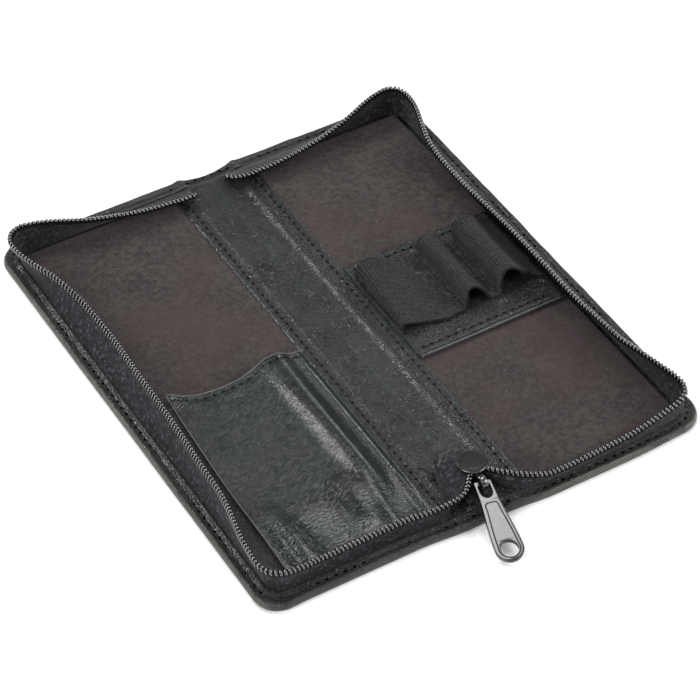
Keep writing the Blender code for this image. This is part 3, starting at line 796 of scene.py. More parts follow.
# ============================================================ the spine's leather
def strip_height(x, y):
    """Top of the inner leather strip, in mm."""
    ax = np.abs(x)
    z = 3.16 + 0 * x
    z = z - 0.16 * (1 - smoothstep(ax / 8.5))                                # it sags between the folds
    xr_ = x - 0.4 * fbm(y, y * 0, 60.0, 61, 2)
    ridge_r = (0.74 + 0.12 * vnoise(y / 22.0, y * 0, 64)) * smoothstep((xr_ - 6.9) / 2.3) * (1 - smoothstep((xr_ - 9.5) / 1.7))
    ridge_l = 0.26 * bump_at(x, -9.9 + 0.5 * fbm(y, y * 0, 50.0, 63, 2), 1.3)
    z = z + ridge_r + ridge_l
    z = z - 0.14 * bump_at(x, 12.2, 0.9) - 0.10 * bump_at(x, -12.0, 0.9)     # sewn down, it dips at the rows
    z = z - 0.05 * bump_at(ax, 13.7, 0.45)
    z = z + 0.07 * bump_at(ax, 15.0, 0.7)
    z = z + 0.09 * fbm(x, y, 11.0, 65, 3) * (0.35 + 0.65 * smoothstep(np.abs(y) / 80.0))
    z = z + 0.030 * fbm(x * 1.0, y * 0.6, 3.4, 68, 2)
    far = smoothstep((y - 62.0) / 24.0)
    z = z + far * 0.16 * fbm(x * 1.5 + y * 0.8, y - x, 6.0, 70, 2)           # small creases near the far end
    end = 1 - smoothstep((90.4 - np.abs(y)) / 2.6)
    z = z - 0.25 * end
    return z


for side in (-1, 1):
    xs = np.concatenate([np.arange(0.0, 7.5, 0.75), np.arange(7.5, 16.3, 0.3)])
    xs[-1] = 16.3
    ys = np.linspace(-90.3, 90.3, 230)
    X, Y = np.meshgrid(xs, ys, indexing="ij")
    wob = 0.14 * fbm(Y, Y * 0, 24.0, 75 + side, 2)
    Xw = X + wob * smoothstep((X - 13) / 3.0)
    Z = strip_height(Xw * side, Y)
    Z = Z - 0.22 * smoothstep((X - 15.5) / 0.8) ** 2                          # turned edge
    P = np.stack([Xw * side, Y, Z], 2)
    th_ = 0.5 + 0.0 * X
    st = slab("spine_strip_" + TAG[side], P if side > 0 else P[:, ::-1], th_, LEATHER_STRIP, rim=0.0 if False else 0.02, uv_scale=1)
    bend(st)
    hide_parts(*(["strip_margin_left", "strip_centre"] if side < 0 else ["strip_margin_right"]))
    th, ho = Pile(), Pile()
    yy = np.arange(-88.0, 88.0, 0.5)
    zz = strip_height(np.full_like(yy, side * 13.7), yy)
    LP = np.stack([np.full_like(yy, side * 13.7), yy, zz + 0.02], 1)
    stitch_row(th, ho, LP, np.tile([0, 0, 1.0], (len(yy), 1)), pitch=3.3, stitch=2.3, radius=0.21, seed=15 + side, arch=0.08)
    for o in (th.make("strip_stitches_" + TAG[side], THREAD), ho.make("strip_needle_holes_" + TAG[side], HOLE_PAINTED_SHADE)):
        bend(o)

# ==================================================================== the zip
# route of each tape: where its fold comes out of the leather (x, y, z), and where
# the coil's centre is (x, y, z). Right-hand values are for |x|.
ZIP_KEYS = {
    -1: [
        (-9.2, 90.0, 2.7, -10.4, 81.0, 7.0), (-11.5, 90.3, 2.7, -12.0, 81.0, 7.6), (-15, 90.3, 2.7, -15.4, 80.9, 7.8), (-19, 90.3, 2.7, -19, 81.2, 7.9),
        (-27, 90.3, 2.7, -27, 81.6, 8.3), (-36, 90.3, 2.7, -36, 82.2, 9.3), (-43, 90.3, 2.7, -43, 83.0, 10.4), (-50, 90.3, 2.7, -50, 84.2, 11.4),
        (-57, 90.3, 2.7, -57, 86.1, 12.5), (-63, 90.3, 2.7, -63, 88.5, 13.1), (-68.5, 90.3, 2.7, -68.7, 90.6, 13.2),
        (-73.3, 89.8, 2.7, -73.8, 91.4, 13.1), (-75.2, 88.5, 2.7, -77.5, 89.7, 13.1), (-76.4, 86.6, 2.7, -79.5, 86.4, 13.1),
        (-76.8, 82, 2.7, -79.7, 81.5, 13.1), (-76.8, 74, 2.7, -78.2, 74, 13.2), (-76.8, 69, 2.7, -76.7, 69, 13.2),
        (-76.8, 65, 2.7, -75.2, 65, 13.1), (-76.8, 60, 2.7, -73.8, 60, 12.9), (-76.8, 55, 2.7, -72.6, 55, 12.4), (-76.8, 50, 2.7, -71.7, 50, 11.9),
        (-76.8, 43, 2.7, -71.1, 43, 11.5), (-76.8, 28, 2.7, -70.7, 28, 11.3), (-76.8, 7, 2.7, -71.5, 7, 11.8),
        (-76.8, -11, 2.7, -72.0, -11, 12.1), (-76.8, -22, 2.7, -72.5, -22, 12.3), (-76.8, -40, 2.7, -73.7, -40, 12.8),
        (-76.8, -52, 2.7, -74.3, -52, 13.0), (-76.8, -61, 2.7, -75.6, -61, 13.1), (-76.8, -71, 2.7, -77.5, -71, 13.1), (-76.8, -78, 2.7, -78.3, -78.5, 13.0),
        (-76.5, -86.4, 2.7, -78.5, -84.6, 12.9), (-75.2, -88.6, 2.7, -76.9, -88.6, 12.7), (-72.6, -90.1, 2.7, -73.0, -90.8, 12.2),
        (-68, -90.3, 2.7, -68.0, -91.1, 11.4), (-60, -90.3, 2.7, -60, -90.1, 10.1), (-50, -90.3, 2.7, -50, -89.5, 9.3),
        (-40, -90.3, 2.7, -40, -89.3, 9.1), (-30, -90.3, 2.7, -30, -89.3, 8.9), (-20, -90.3, 2.8, -20, -89.7, 8.7),
        (-14, -89.4, 3.1, -14, -89.5, 8.8), (-12.4, -87.6, 3.45, -10.1, -89.0, 9.0), (-11.2, -85.2, 3.7, -7.3, -88.0, 9.3),
        (-10.0, -82.3, 3.8, -5.45, -86.6, 9.5), (-8.7, -79.2, 3.9, -3.6, -84.6, 9.8), (-7.6, -76.0, 4.0, -1.8, -82.6, 10.05),
        (-6.6, -73.0, 4.05, -0.5, -80.5, 10.1), (-5.6, -70.5, 4.1, -0.1, -77.6, 9.6)],
    1: [
        (4.5, 90.0, 2.7, 2.6, 85.3, 7.2), (6.0, 90.3, 2.7, 4.4, 83.6, 7.2), (8.5, 90.3, 2.7, 7.4, 82.0, 7.3), (11.5, 90.3, 2.7, 10.9, 81.2, 7.5), (15.2, 90.3, 2.7, 15.2, 81.2, 7.7),
        (21, 90.3, 2.7, 21, 81.2, 7.9), (27, 90.3, 2.7, 27, 81.5, 8.3), (36, 90.3, 2.7, 36, 82.2, 9.3), (43, 90.3, 2.7, 43, 83.0, 10.4), (50, 90.3, 2.7, 50, 84.4, 11.6),
        (57, 90.3, 2.7, 57, 86.3, 12.6), (63, 90.3, 2.7, 63, 88.5, 13.1), (68.5, 90.3, 2.7, 68.7, 90.2, 13.2),
        (73.3, 89.8, 2.7, 73.6, 90.8, 13.1), (75.2, 88.5, 2.7, 76.6, 89.0, 13.1), (76.4, 86.6, 2.7, 77.6, 86.2, 13.1),
        (76.8, 79, 2.7, 77.4, 79, 13.2), (76.8, 74, 2.7, 76.1, 74, 13.2), (76.8, 69, 2.7, 74.4, 69, 12.9), (76.8, 64, 2.7, 72.8, 64, 12.4),
        (76.8, 59, 2.7, 71.7, 59, 11.9), (76.8, 53, 2.7, 71.1, 53, 11.5), (76.8, 37, 2.7, 70.5, 37, 11.2), (76.8, 18, 2.7, 71.0, 18, 11.5), (76.8, 0, 2.7, 71.3, 0, 11.7),
        (76.8, -18, 2.7, 71.3, -18, 11.7), (76.8, -36, 2.7, 71.3, -36, 11.7), (76.8, -47, 2.7, 71.9, -47, 12.1), (76.8, -58, 2.7, 72.5, -58, 12.4),
        (76.8, -67, 2.7, 74.0, -67, 12.9), (76.8, -76, 2.7, 75.8, -76, 13.1), (76.7, -83, 2.7, 77.2, -82.6, 13.0),
        (76.4, -86.8, 2.7, 77.4, -86.4, 12.8), (75.2, -88.6, 2.7, 75.8, -89.6, 12.5), (72.6, -90.1, 2.7, 72.4, -91.1, 11.8),
        (68, -90.3, 2.7, 67.5, -91.3, 10.6), (61, -90.3, 2.7, 61, -91.2, 9.0), (54, -90.3, 2.7, 54, -91.3, 8.0),
        (46, -90.3, 2.7, 46, -91.6, 7.7), (36, -90.3, 2.7, 36, -92.0, 7.6), (26, -90.3, 2.7, 26, -92.2, 7.7),
        (20.6, -90.3, 2.7, 20.6, -92.0, 8.0), (17.3, -90.3, 2.75, 17.3, -91.2, 8.4), (14.2, -90.2, 2.9, 14.2, -90.1, 8.8),
        (11.7, -89.8, 3.25, 11.3, -88.7, 9.2), (9.7, -88.8, 3.6, 8.6, -87.1, 9.6), (8.0, -87.1, 3.85, 6.2, -85.3, 9.9),
        (7.0, -84.6, 4.0, 4.6, -83.7, 10.1), (6.7, -80.5, 4.05, 3.0, -81.6, 10.15), (6.6, -76.0, 4.1, 2.3, -79.5, 10.0),
        (6.2, -71.5, 4.1, 2.0, -77.4, 9.6)],
}
COIL_A, COIL_B, PITCH, WIRE = 0.86, 0.62, 1.5, 0.34


def zip_route(side, step=0.5):
    keys = [(r[3], r[4], r[5], r[0], r[1], r[2]) for r in ZIP_KEYS[side]]
    R, s = spline(keys, step=step)
    C, B = R[:, :3], R[:, 3:]
    # a soft hand-sewn wander
    wand = 0.16 * fbm(s, s * 0, 22.0, 81 + side, 2)
    lift = 0.12 * fbm(s, s * 0 + 4, 15.0, 85 + side, 2)
    T = np.gradient(C, axis=0)
    T /= np.linalg.norm(T, axis=1, keepdims=True)
    A = C - B
    A -= (A * T).sum(1, keepdims=True) * T
    A /= np.linalg.norm(A, axis=1, keepdims=True)
    N = np.cross(T, A)
    ends = smoothstep(s / 12.0) * smoothstep((s[-1] - s) / 22.0)
    C = C + N * (wand * ends)[:, None] + np.array([0, 0, 1.0]) * (lift * ends)[:, None]
    return C, B, T, A, N, s


for side in (-1, 1):
    C, B, T, A, N, s = zip_route(side, 0.5)
    n = len(C)
    # ---- coil: one nylon wire wound round the tape's edge
    per = 14
    turns = s[-1] / PITCH
    m = int(turns * per)
    q = np.linspace(0.3, s[-1] - 0.3, m)
    th = 2 * math.pi * q / PITCH
    def at(M):
        return np.stack([np.interp(q, s, M[:, j]) for j in range(3)], 1)
    c, tt, a, nn = at(C), at(T), at(A), at(N)
    ca, sa = np.cos(th), np.sin(th)
    px = np.sign(ca) * np.abs(ca) ** 0.80 * COIL_A
    pz = np.sign(sa) * np.abs(sa) ** 0.85 * COIL_B
    path = c + a * px[:, None] + nn * pz[:, None]
    rad = WIRE + 0.10 * np.clip(ca, 0, 1) ** 4
    V, F = tube(path, rad, sides=7, up=tt, flat=1.35)
    pile = Pile()
    pile.add(V, F)
    coil = pile.make("zip_coil_wire_" + TAG[side], COIL, smooth_angle=0)
    # ---- cord inside it and two rows of sewing over its inner legs
    pile = Pile()
    V, F = tube(C - A * 0.05, 0.42, sides=8, up=A, flat=0.8)
    pile.add(V, F)
    for sgn in (-1, 1):
        ss = np.arange(0.8, s[-1] - 0.8, PITCH / 6)
        def at2(M):
            return np.stack([np.interp(ss, s, M[:, j]) for j in range(3)], 1)
        wav = 0.13 * np.cos(2 * math.pi * ss / PITCH)
        Pth = at2(C) + at2(A) * (-0.52) + at2(N) * (sgn * (COIL_B + 0.10) + sgn * wav)[:, None]
        V, F = tube(Pth, 0.17, sides=5, up=at2(A))
        pile.add(V, F)
    cord = pile.make("zip_coil_cord_" + TAG[side], CORD, smooth_angle=0)
    # ---- tape
    rows = 16
    w = np.linspace(0, 1, rows)
    top = C - A * (COIL_A * 0.45)
    P = np.zeros((n, rows, 3))
    ripple = fbm(s, s * 0, 7.0, 91 + side, 2)
    ripple2 = fbm(s, s * 0 + 8, 17.0, 95 + side, 2)
    for j, wj in enumerate(w):
        base = B.copy()
        p = base * (1 - wj) + top * wj
        bow = math.sin(math.pi * wj)
        # the cloth bellies a little outward and ripples at the sewn edge
        p = p - N * ((0.38 * bow + 0.22 * bow * ripple + 0.3 * bow * ripple2) * smoothstep(s / 10) )[:, None] * (1 if side > 0 else 1)
        P[:, j] = p
    # the rows that go in under the turned edge of the leather
    Bn = np.gradient(B, axis=0)
    Bn /= np.maximum(np.linalg.norm(Bn, axis=1, keepdims=True), 1e-9)
    outw = np.cross(Bn, np.array([0, 0, 1.0]))
    outw /= np.maximum(np.linalg.norm(outw, axis=1, keepdims=True), 1e-9)
    centre_dir = B - np.array([side * 40.0, 0, 0])
    flipm = np.sign((outw * centre_dir).sum(1))
    # near the slider the tape lies on the spine instead
    on_spine = smoothstep((B[:, 2] - 2.9) / 0.5) * (B[:, 1] < 0)
    extra = []
    for dist, dz in ((2.4, -1.35), (1.0, -1.25), (0.25, -0.75)):
        e = B + outw * (flipm * dist * (1 - on_spine))[:, None]
        e[:, 2] += dz * (1 - on_spine)
        e = e - (A * (dist * 0.9 * on_spine)[:, None]) * np.array([1, 1, 0.05])
        e[:, 2] = np.where(on_spine > 0.5, np.maximum(e[:, 2], 3.75), e[:, 2])
        extra.append(e)
    P = np.concatenate([np.stack(extra, 1), P], 1)
    tape = slab("zip_tape_cloth_" + TAG[side], P, 0.5, TAPE, rim=0.12, uv_scale=1, smooth_angle=0)
    for o, sl in ((coil, "zip_coil"), (cord, "zip_coil"), (tape, "zip_tape")):
        bend(o)
    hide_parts("zip_coil_" + TAG[side])
    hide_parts("zip_tape_" + TAG[side])

# ------------------------------------------------- the tape's sewn end on the strip
TAB = dict(x=1.0, y=-72.3, r=6.6)
nu, nv = 56, 26
u = np.linspace(-1, 1, nu)
P = np.zeros((nu, nv, 3))
for i, ui in enumerate(u):
    # from the near end up to a half-round far end with a scalloped, oversewn rim
    ang = ui * math.pi / 2
    xe = TAB["x"] + TAB["r"] * math.sin(ang)
    ye = TAB["y"] + TAB["r"] * math.cos(ang) + 0.28 * math.sin(ang * 9.0)
    for j, vj in enumerate(np.linspace(0, 1, nv)):
        y0 = -88.4
        yy_ = y0 + (ye - y0) * vj
        P[i, j] = (xe + 0.15 * math.sin(vj * 9 + ui * 3), yy_, 0)
X, Y = P[..., 0], P[..., 1]
P[..., 2] = strip_height(X, Y) + 0.62 + 0.16 * fbm(X, Y, 6.0, 101, 2) + 0.10 * bump_at(Y, -70.0, 4.0)
tab = slab("zip_tape_sewn_end", P[::-1], 0.5, TAPE, rim=0.15, uv_scale=1, smooth_angle=0)
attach(tab, "spine")
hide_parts("zip_tape_end_tab")
# oversewing: slanted thread loops over the half-round rim, and a bar tack at each foot
pile = Pile()
rng = np.random.RandomState(8)
arc = np.linspace(-1.50, 1.50, 46)
for k, a in enumerate(arc):
    rr = TAB["r"] - 0.1
    cx, cy = TAB["x"] + rr * math.sin(a), TAB["y"] + rr * math.cos(a) + 0.28 * math.sin(a * 9.0)
    dirv = np.array([math.sin(a + 0.5), math.cos(a + 0.5), 0])
    z0 = float(strip_height(np.array([cx]), np.array([cy]))[0])
    t = np.linspace(-1, 1, 9)
    Pt = np.array([cx, cy, z0 + 0.95]) + dirv[None] * (t * (1.0 + 0.12 * rng.uniform(-1, 1)))[:, None]
    Pt[:, 2] += 0.42 * np.sqrt(np.clip(1 - t ** 2, 0, 1)) - 0.22
    pile.add(*tube(Pt, 0.22, sides=6, up=(0, 0, 1)))
for sx, x0, ln in ((-1, TAB["x"] - 6.9, 5.2), (1, TAB["x"] + 6.9, 1.6)):
    cnt = int(ln / 0.42)
    for k in range(cnt):
        cx = x0 + sx * (k * 0.42)
        cy = TAB["y"] + 0.4 - 0.12 * k + 0.15 * rng.uniform(-1, 1)
        z0 = float(strip_height(np.array([cx]), np.array([cy]))[0])
        t = np.linspace(-1, 1, 7)
        Pt = np.array([cx, cy, z0 + 0.12]) + np.array([0.25, 1.0, 0])[None] * (t * 0.75)[:, None]
        Pt[:, 2] += 0.25 * np.sqrt(np.clip(1 - t ** 2, 0, 1))
        pile.add(*tube(Pt, 0.26, sides=6, up=(0, 0, 1)))
# the tape's end is rolled under: a lumpy cord-like rim round the half circle
a_ = np.linspace(-1.62, 1.55, 150)
rr = TAB["r"] - 0.35
lump = 0.80 + 0.15 * np.sin(a_ * 19.0) + 0.10 * vnoise(a_ * 7.0, a_ * 0, 181)
RX, RY = TAB["x"] + rr * np.sin(a_), TAB["y"] + rr * np.cos(a_) + 0.28 * np.sin(a_ * 9.0)
rim_tube = Pile()
rim_tube.add(*tube(np.stack([RX, RY, strip_height(RX, RY) + 0.85 + 0.2 * vnoise(a_ * 5.0, a_ * 0, 183)], 1), lump, sides=12))
# a loose thread tail wanders off to the left of the bar tack
tl = np.linspace(0, 1, 40)
TX, TY = TAB["x"] - 6.6 - 5.6 * tl, TAB["y"] + 0.2 + 6.5 * tl ** 1.3 + 0.6 * np.sin(tl * 11.0)
rim_tube.add(*tube(np.stack([TX, TY, strip_height(TX, TY) + 0.30 + 0.25 * np.abs(np.sin(tl * 8.0))], 1), 0.34 - 0.16 * tl, sides=8))
# rim and thread tail take the paler tape copy: painted highlight
rim_ob = rim_tube.make("sewn_end_rolled_rim", TAPE_RIM_PAINTED_HIGHLIGHT, smooth_angle=0)
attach(rim_ob, "spine")
# a straight lockstitch row inside the rim
hp = Pile()
a_ = np.linspace(-1.45, 1.45, 120)
rr = TAB["r"] - 2.0
LX, LY = TAB["x"] + rr * np.sin(a_), TAB["y"] + rr * np.cos(a_)
LZ = strip_height(LX, LY) + 0.68 + 0.16 * fbm(LX, LY, 6.0, 101, 2) + 0.10 * bump_at(LY, -70.0, 4.0)
stitch_row(pile, None, np.stack([LX, LY, LZ], 1), np.tile([0, 0, 1.0], (120, 1)), pitch=2.4, stitch=1.9, radius=0.17, seed=77)
oversew = pile.make("sewn_end_threads", THREAD_DARK)
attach(oversew, "spine")

# ================================================================== the pocket
def mouth_y(x):
    xs = np.array([-66.5, -65.2, -61.5, -56.3, -49.5, -42.3, -36.5, -32.4, -26.0, -15.8])
    ys = np.array([2.6, 1.3, -2.6, -5.2, -6.6, -6.8, -5.5, -4.1, -3.3, -2.9])
    return np.interp(x, xs, ys)


def pocket_surface(nu, nv, u0=0.0, u1=1.0):
    u = np.linspace(u0, u1, nu)[:, None] * np.ones((1, nv))
    w = np.ones((nu, 1)) * np.linspace(0, 1, nv)[None]
    x_free = -65.2 - 3.4 * (1 - w) - 0.9 * np.sin(math.pi * w)
    X = x_free + (-16.5 - x_free) * u
    ytop = np.zeros_like(X)
    for _ in range(2):
        k = np.ones(7) / 7
        ytop = mouth_y(X)
    kern = np.hanning(9)
    kern /= kern.sum()
    pad = np.pad(ytop, ((4, 4), (0, 0)), mode="edge")
    ytop = sum(kern[i] * pad[i:i + nu] for i in range(9))
    Y = -88.9 + (ytop + 88.9) * w
    s = X + 16.5                                                   # distance from the strip, negative
    d = -s
    # cross-section: up from the strip, a fold, a ridge, then a long easy slope to the free edge
    closed = 0.22 + 0.78 * smoothstep(w / 0.34)
    rise = smoothstep(d / 2.4) * 1.5 + smoothstep((d - 3.4) / 7.0) * 2.7
    fall = smoothstep((d - 12.0) / (38.0)) * 2.6 + smoothstep((0.05 - u) / 0.05) * 0.15
    H = (rise - fall) * closed
    # the ridge wanders from the mouth to the near end
    ridge = bump_at(X, -29.5 + 1.0 * np.sin(w * 4.0), 4.2) * (0.35 + 0.65 * np.sin(math.pi * np.clip(w, 0, 1)) ** 0.7)
    H = H + 1.35 * ridge * closed
    # a pull runs to the near left, one to the near right
    H = H + 1.25 * bump_at(X + 60.5 + (Y + 74) * 0.10, 0, 3.8) * bump_at(Y, -74.0, 14.0)
    H = H - 0.45 * bump_at(X + 47.0, 0, 6.0) * bump_at(Y, -76.0, 14.0)
    H = H + 0.9 * bump_at(X + 36.0 + (Y + 70) * 0.12, 0, 3.8) * bump_at(Y, -71.0, 9.0) + 0.8 * bump_at(X + 29.5, 0, 3.0) * bump_at(Y, -80.0, 9.0)
    # long stretch creases that fan out from the left of the mouth
    cr = fbm((Y + 0.10 * X) * 1.0, X * 0.16, 2.6, 131, 3)
    H = H + 0.11 * cr * smoothstep((w - 0.45) / 0.3) * smoothstep((-X - 34) / 16.0)
    H = H + 0.16 * fbm(X, Y * 0.5, 18.0, 121, 2) + 0.02 * fbm(X, Y, 4.0, 125, 2)
    # fold line beside the strip
    H = H - 0.40 * bump_at(d, 3.1, 0.75) * smoothstep(w / 0.1)
    # mouth hem: a step where the turned-in leather ends, and a pinch at the stitches
    hem = (1 - w) * (ytop + 88.9)
    H = H + 0.16 * (1 - smoothstep((hem - 5.2) / 1.0)) - 0.13 * bump_at(hem, 2.2, 0.5)
    # the free left edge lifts a little towards the near end
    lift = bump_at(w, 0.16, 0.17) * (1 - smoothstep(u / 0.12)) * 1.3
    H = H + lift
    Z = 4.15 + H
    Z = np.where(w < 0.02, np.minimum(Z, 4.4), Z)
    return X, Y, Z


X, Y, Z = pocket_surface(96, 130)
pk = slab("pocket_leather_skin", np.stack([X, Y, Z], 2), 0.95, LEATHER_POCKET, rim=0.22, uv_scale=1)
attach(pk, "left_panel")
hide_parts("pocket_leather")

# the pocket's lower layer, flat on the lining, seen past the free edge
xs_ = np.linspace(0, 1, 30)
ys_ = np.linspace(-88.6, -3.0, 80)
P = np.zeros((30, 80, 3))
for j, yv in enumerate(ys_):
    xl = -70.4 - 3.4 * float(smoothstep((-10.0 - yv) / 60.0))
    for i, t in enumerate(xs_):
        P[i, j] = (xl + (-44.0 - xl) * t, yv, 3.32 + 0.12 * math.sin(t * 9 + yv * 0.2) * (t < 0.4) - 0.10 * (t > 0.9))
P[..., 2] += 0.08 * fbm(P[..., 0], P[..., 1], 7.0, 141, 2)
lower = slab("pocket_lower_layer", P, 0.35, LEATHER_UNDER, rim=0.12, uv_scale=1)
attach(lower, "left_panel")

# pale cut edges along the mouth and the free side (partly the raw edge's own colour, partly a painted highlight), and
# the hem's stitches
th, ho = Pile(), Pile()
mouth = np.stack([X[:, -1], Y[:, -1], Z[:, -1]], 1)
ed = Pile()
V, F = tube(mouth + np.array([0, 0.30, -0.16]), 0.24 + 0.05 * vnoise(np.arange(len(mouth)) * 0.7, np.arange(len(mouth)) * 0.0, 151), sides=7)
ed.add(V, F)
free = np.stack([X[0], Y[0], Z[0]], 1)[4:]
V, F = tube(free + np.array([-0.30, 0, -0.14]), 0.22 + 0.04 * vnoise(np.arange(len(free)) * 0.6, np.arange(len(free)) * 0.0, 152), sides=7)
ed.add(V, F)
edge = ed.make("pocket_cut_edges_painted_highlight", EDGE_PALE_AND_HIGHLIGHT, smooth_angle=0)
k = -4
hemN = grid_normals(np.stack([X, Y, Z], 2))
hem_line = np.stack([X[:, k], Y[:, k], Z[:, k]], 1)
nrm = hemN[:, k]
nrm = np.where(nrm[:, 2:3] < 0, -nrm, nrm)
stitch_row(th, ho, hem_line[2:-2], nrm[2:-2], pitch=3.2, stitch=2.3, radius=0.20, seed=31)
for o in (edge, th.make("pocket_stitches", THREAD), ho.make("pocket_needle_holes", HOLE_PAINTED_SHADE)):
    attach(o, "left_panel")

# ======================================================== patch under the loops
px0, px1, py0, py1 = 16.35, 74.6, -25.2, 25.5
xs = np.concatenate([np.linspace(px0, 20, 12), np.linspace(20.5, px1, 84)])
ys = np.concatenate([np.linspace(py0, py0 + 4, 18), np.linspace(py0 + 4.4, py1 - 3, 70), np.linspace(py1 - 2.7, py1, 12)])
X, Y = np.meshgrid(xs, ys, indexing="ij")
wob_n = 0.25 * fbm(X, X * 0, 18.0, 161, 2)
Yw = Y + wob_n * (1 - smoothstep((Y - py0) / 6.0)) + 0.2 * fbm(X, X * 0 + 5, 14.0, 163, 2) * smoothstep((Y - py1 + 6) / 6)
Z = 3.92 + 0.07 * fbm(X, Y, 12.0, 165, 3) + 0.03 * fbm(X, Y, 3.0, 167, 2)
Z += 0.42 * bump_at(Y - py0, 0.75, 0.62)                         # the near edge is turned under and proud
Z -= 0.16 * bump_at(Y - py0, 1.9, 0.5)
Z -= 0.14 * bump_at(Y - py0, 4.1, 0.45) + 0.14 * bump_at(py1 - Y, 2.4, 0.45)
Z += 0.10 * bump_at(py1 - Y, 0.6, 0.5)
Z = Z - 0.62 * (1 - smoothstep((X - px0) / 0.40)) - 0.6 * smoothstep((X - (px1 - 1.6)) / 1.6)
patch = slab("loop_patch_leather", np.stack([X, Yw, Z], 2), 0.62, LEATHER_STRIP, rim=0.25, uv_scale=1)
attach(patch, "right_panel")
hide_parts("loop_patch")


def patch_z(x, y):
    return 3.92 + 0.07 * fbm(x, y, 12.0, 165, 3) + 0.03 * fbm(x, y, 3.0, 167, 2)


th, ho = Pile(), Pile()
for yrow, sd, xa, xb in ((py0 + 4.1, 41, 18.5, 73.0), (py1 - 2.4, 42, 18.5, 73.0)):
    xx = np.arange(xa, xb, 0.5)
    LP = np.stack([xx, np.full_like(xx, yrow), patch_z(xx, np.full_like(xx, yrow)) - 0.10], 1)
    stitch_row(th, ho, LP, np.tile([0, 0, 1.0], (len(xx), 1)), pitch=3.2, stitch=2.3, radius=0.20, seed=sd)

# a painted highlight: a pale line along the near edge of the patch, where the leather is turned under
xe_ = np.arange(18.6, 72.6, 0.45)
we_ = 0.25 * fbm(xe_, xe_ * 0, 18.0, 161, 2)
patch_edge_highlight = Pile()
patch_edge_highlight.add(*tube(np.stack([xe_, py0 + 0.42 + we_, patch_z(xe_, np.full_like(xe_, py0)) + 0.24], 1), 0.17 + 0.05 * vnoise(xe_ * 0.9, xe_ * 0, 171), sides=7))
patch_edge_highlight_ob = patch_edge_highlight.make("loop_patch_edge_painted_highlight", EDGE_PALE_AND_HIGHLIGHT, smooth_angle=0)
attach(patch_edge_highlight_ob, "right_panel")

# ============================================================ the elastic loops
BAND_Z = 4.3


# outer side of the band at its near edge and at its far edge, in matching rows. Each
# pen loop stands up steeply on its left and falls away easily on its right.
NEAR = [(17.0, 4.9), (17.15, 6.2), (17.7, 7.5), (19.4, 7.75), (22.4, 6.75), (26.0, 5.7), (30.0, 5.3), (34.0, 5.2), (38.0, 5.2), (40.6, 5.1),
        (41.4, 6.3), (41.3, 8.6), (41.5, 10.4), (42.7, 11.5), (44.6, 11.7), (46.6, 10.9), (48.6, 9.2), (49.9, 7.2), (51.2, 5.4), (52.6, 5.15), (54.6, 5.2),
        (55.6, 6.3), (55.4, 8.6), (55.9, 11.0), (57.3, 12.9), (59.6, 13.3), (62.0, 12.3), (64.5, 10.1), (66.8, 7.6), (68.8, 5.7), (70.4, 5.1), (72.6, 4.9)]
FAR = [(17.3, 4.9), (17.6, 6.4), (18.6, 8.2), (20.8, 9.2), (24.0, 9.0), (27.2, 7.7), (30.4, 6.3), (34.2, 5.4), (38.0, 5.2), (40.4, 5.1),
       (41.2, 6.3), (41.2, 8.6), (41.6, 10.7), (42.9, 11.7), (45.4, 11.7), (47.4, 10.8), (49.2, 9.1), (50.3, 7.2), (51.4, 5.4), (52.6, 5.15), (54.6, 5.2),
       (55.7, 6.3), (55.7, 8.6), (56.3, 11.0), (57.8, 12.5), (60.6, 12.7), (63.0, 11.6), (65.3, 9.3), (67.2, 7.2), (68.9, 5.7), (70.4, 5.1), (72.6, 4.9)]
NUP = 250


def smooth_profile(keys):
    q, _ = spline(np.array([(x, z, 0.0, i) for i, (x, z) in enumerate(keys)], float), step=0.05)
    w = np.interp(np.linspace(0, len(keys) - 1, NUP), q[:, 3], np.arange(len(q)))
    out = np.stack([np.interp(w, np.arange(len(q)), q[:, c]) for c in (0, 1)], 1)
    for _ in range(4):
        out[1:-1] = 0.25 * out[:-2] + 0.5 * out[1:-1] + 0.25 * out[2:]
    return out


def even(prof, ref):
    """Rows spaced evenly along the reference profile."""
    s_ = np.concatenate([[0], np.cumsum(np.linalg.norm(np.diff(ref, axis=0), axis=1))])
    q = np.linspace(0, s_[-1], NUP)
    return np.stack([np.interp(q, s_, prof[:, c]) for c in (0, 1)], 1), q


near_p, far_p = smooth_profile(NEAR), smooth_profile(FAR)
ref_p = (near_p + far_p) / 2
far_e, ps = even(far_p, ref_p)
near_e, _ = even(near_p, ref_p)
mid_x = (near_e[:, 0] + far_e[:, 0]) / 2
# the band's cut edges: pulled back over the loops, and reaching out where it lies flat
y_near = np.interp(mid_x, [17, 20, 25, 29, 34, 41, 42, 50, 51.5, 55, 56, 70, 73], [-12.2, -12.3, -12.7, -13.6, -14.3, -14.3, -12.4, -12.1, -13.6, -13.8, -12.2, -12.0, -12.6])
y_far = np.interp(mid_x, [17, 20, 26, 30, 35, 40.5, 41.5, 50, 51.5, 55, 56, 70, 73], [19.8, 20.6, 20.6, 19.6, 17.6, 15.6, 18.6, 19.0, 16.8, 16.8, 19.2, 19.6, 19.0])
kk = np.hanning(15)
kk /= kk.sum()
y_near = np.convolve(np.pad(y_near, 7, mode="edge"), kk, mode="valid")
y_far = np.convolve(np.pad(y_far, 7, mode="edge"), kk, mode="valid")
by0, by1 = -12.0, 20.0
NV = 132
P = np.zeros((NUP, NV, 3))
N3 = np.zeros_like(P)
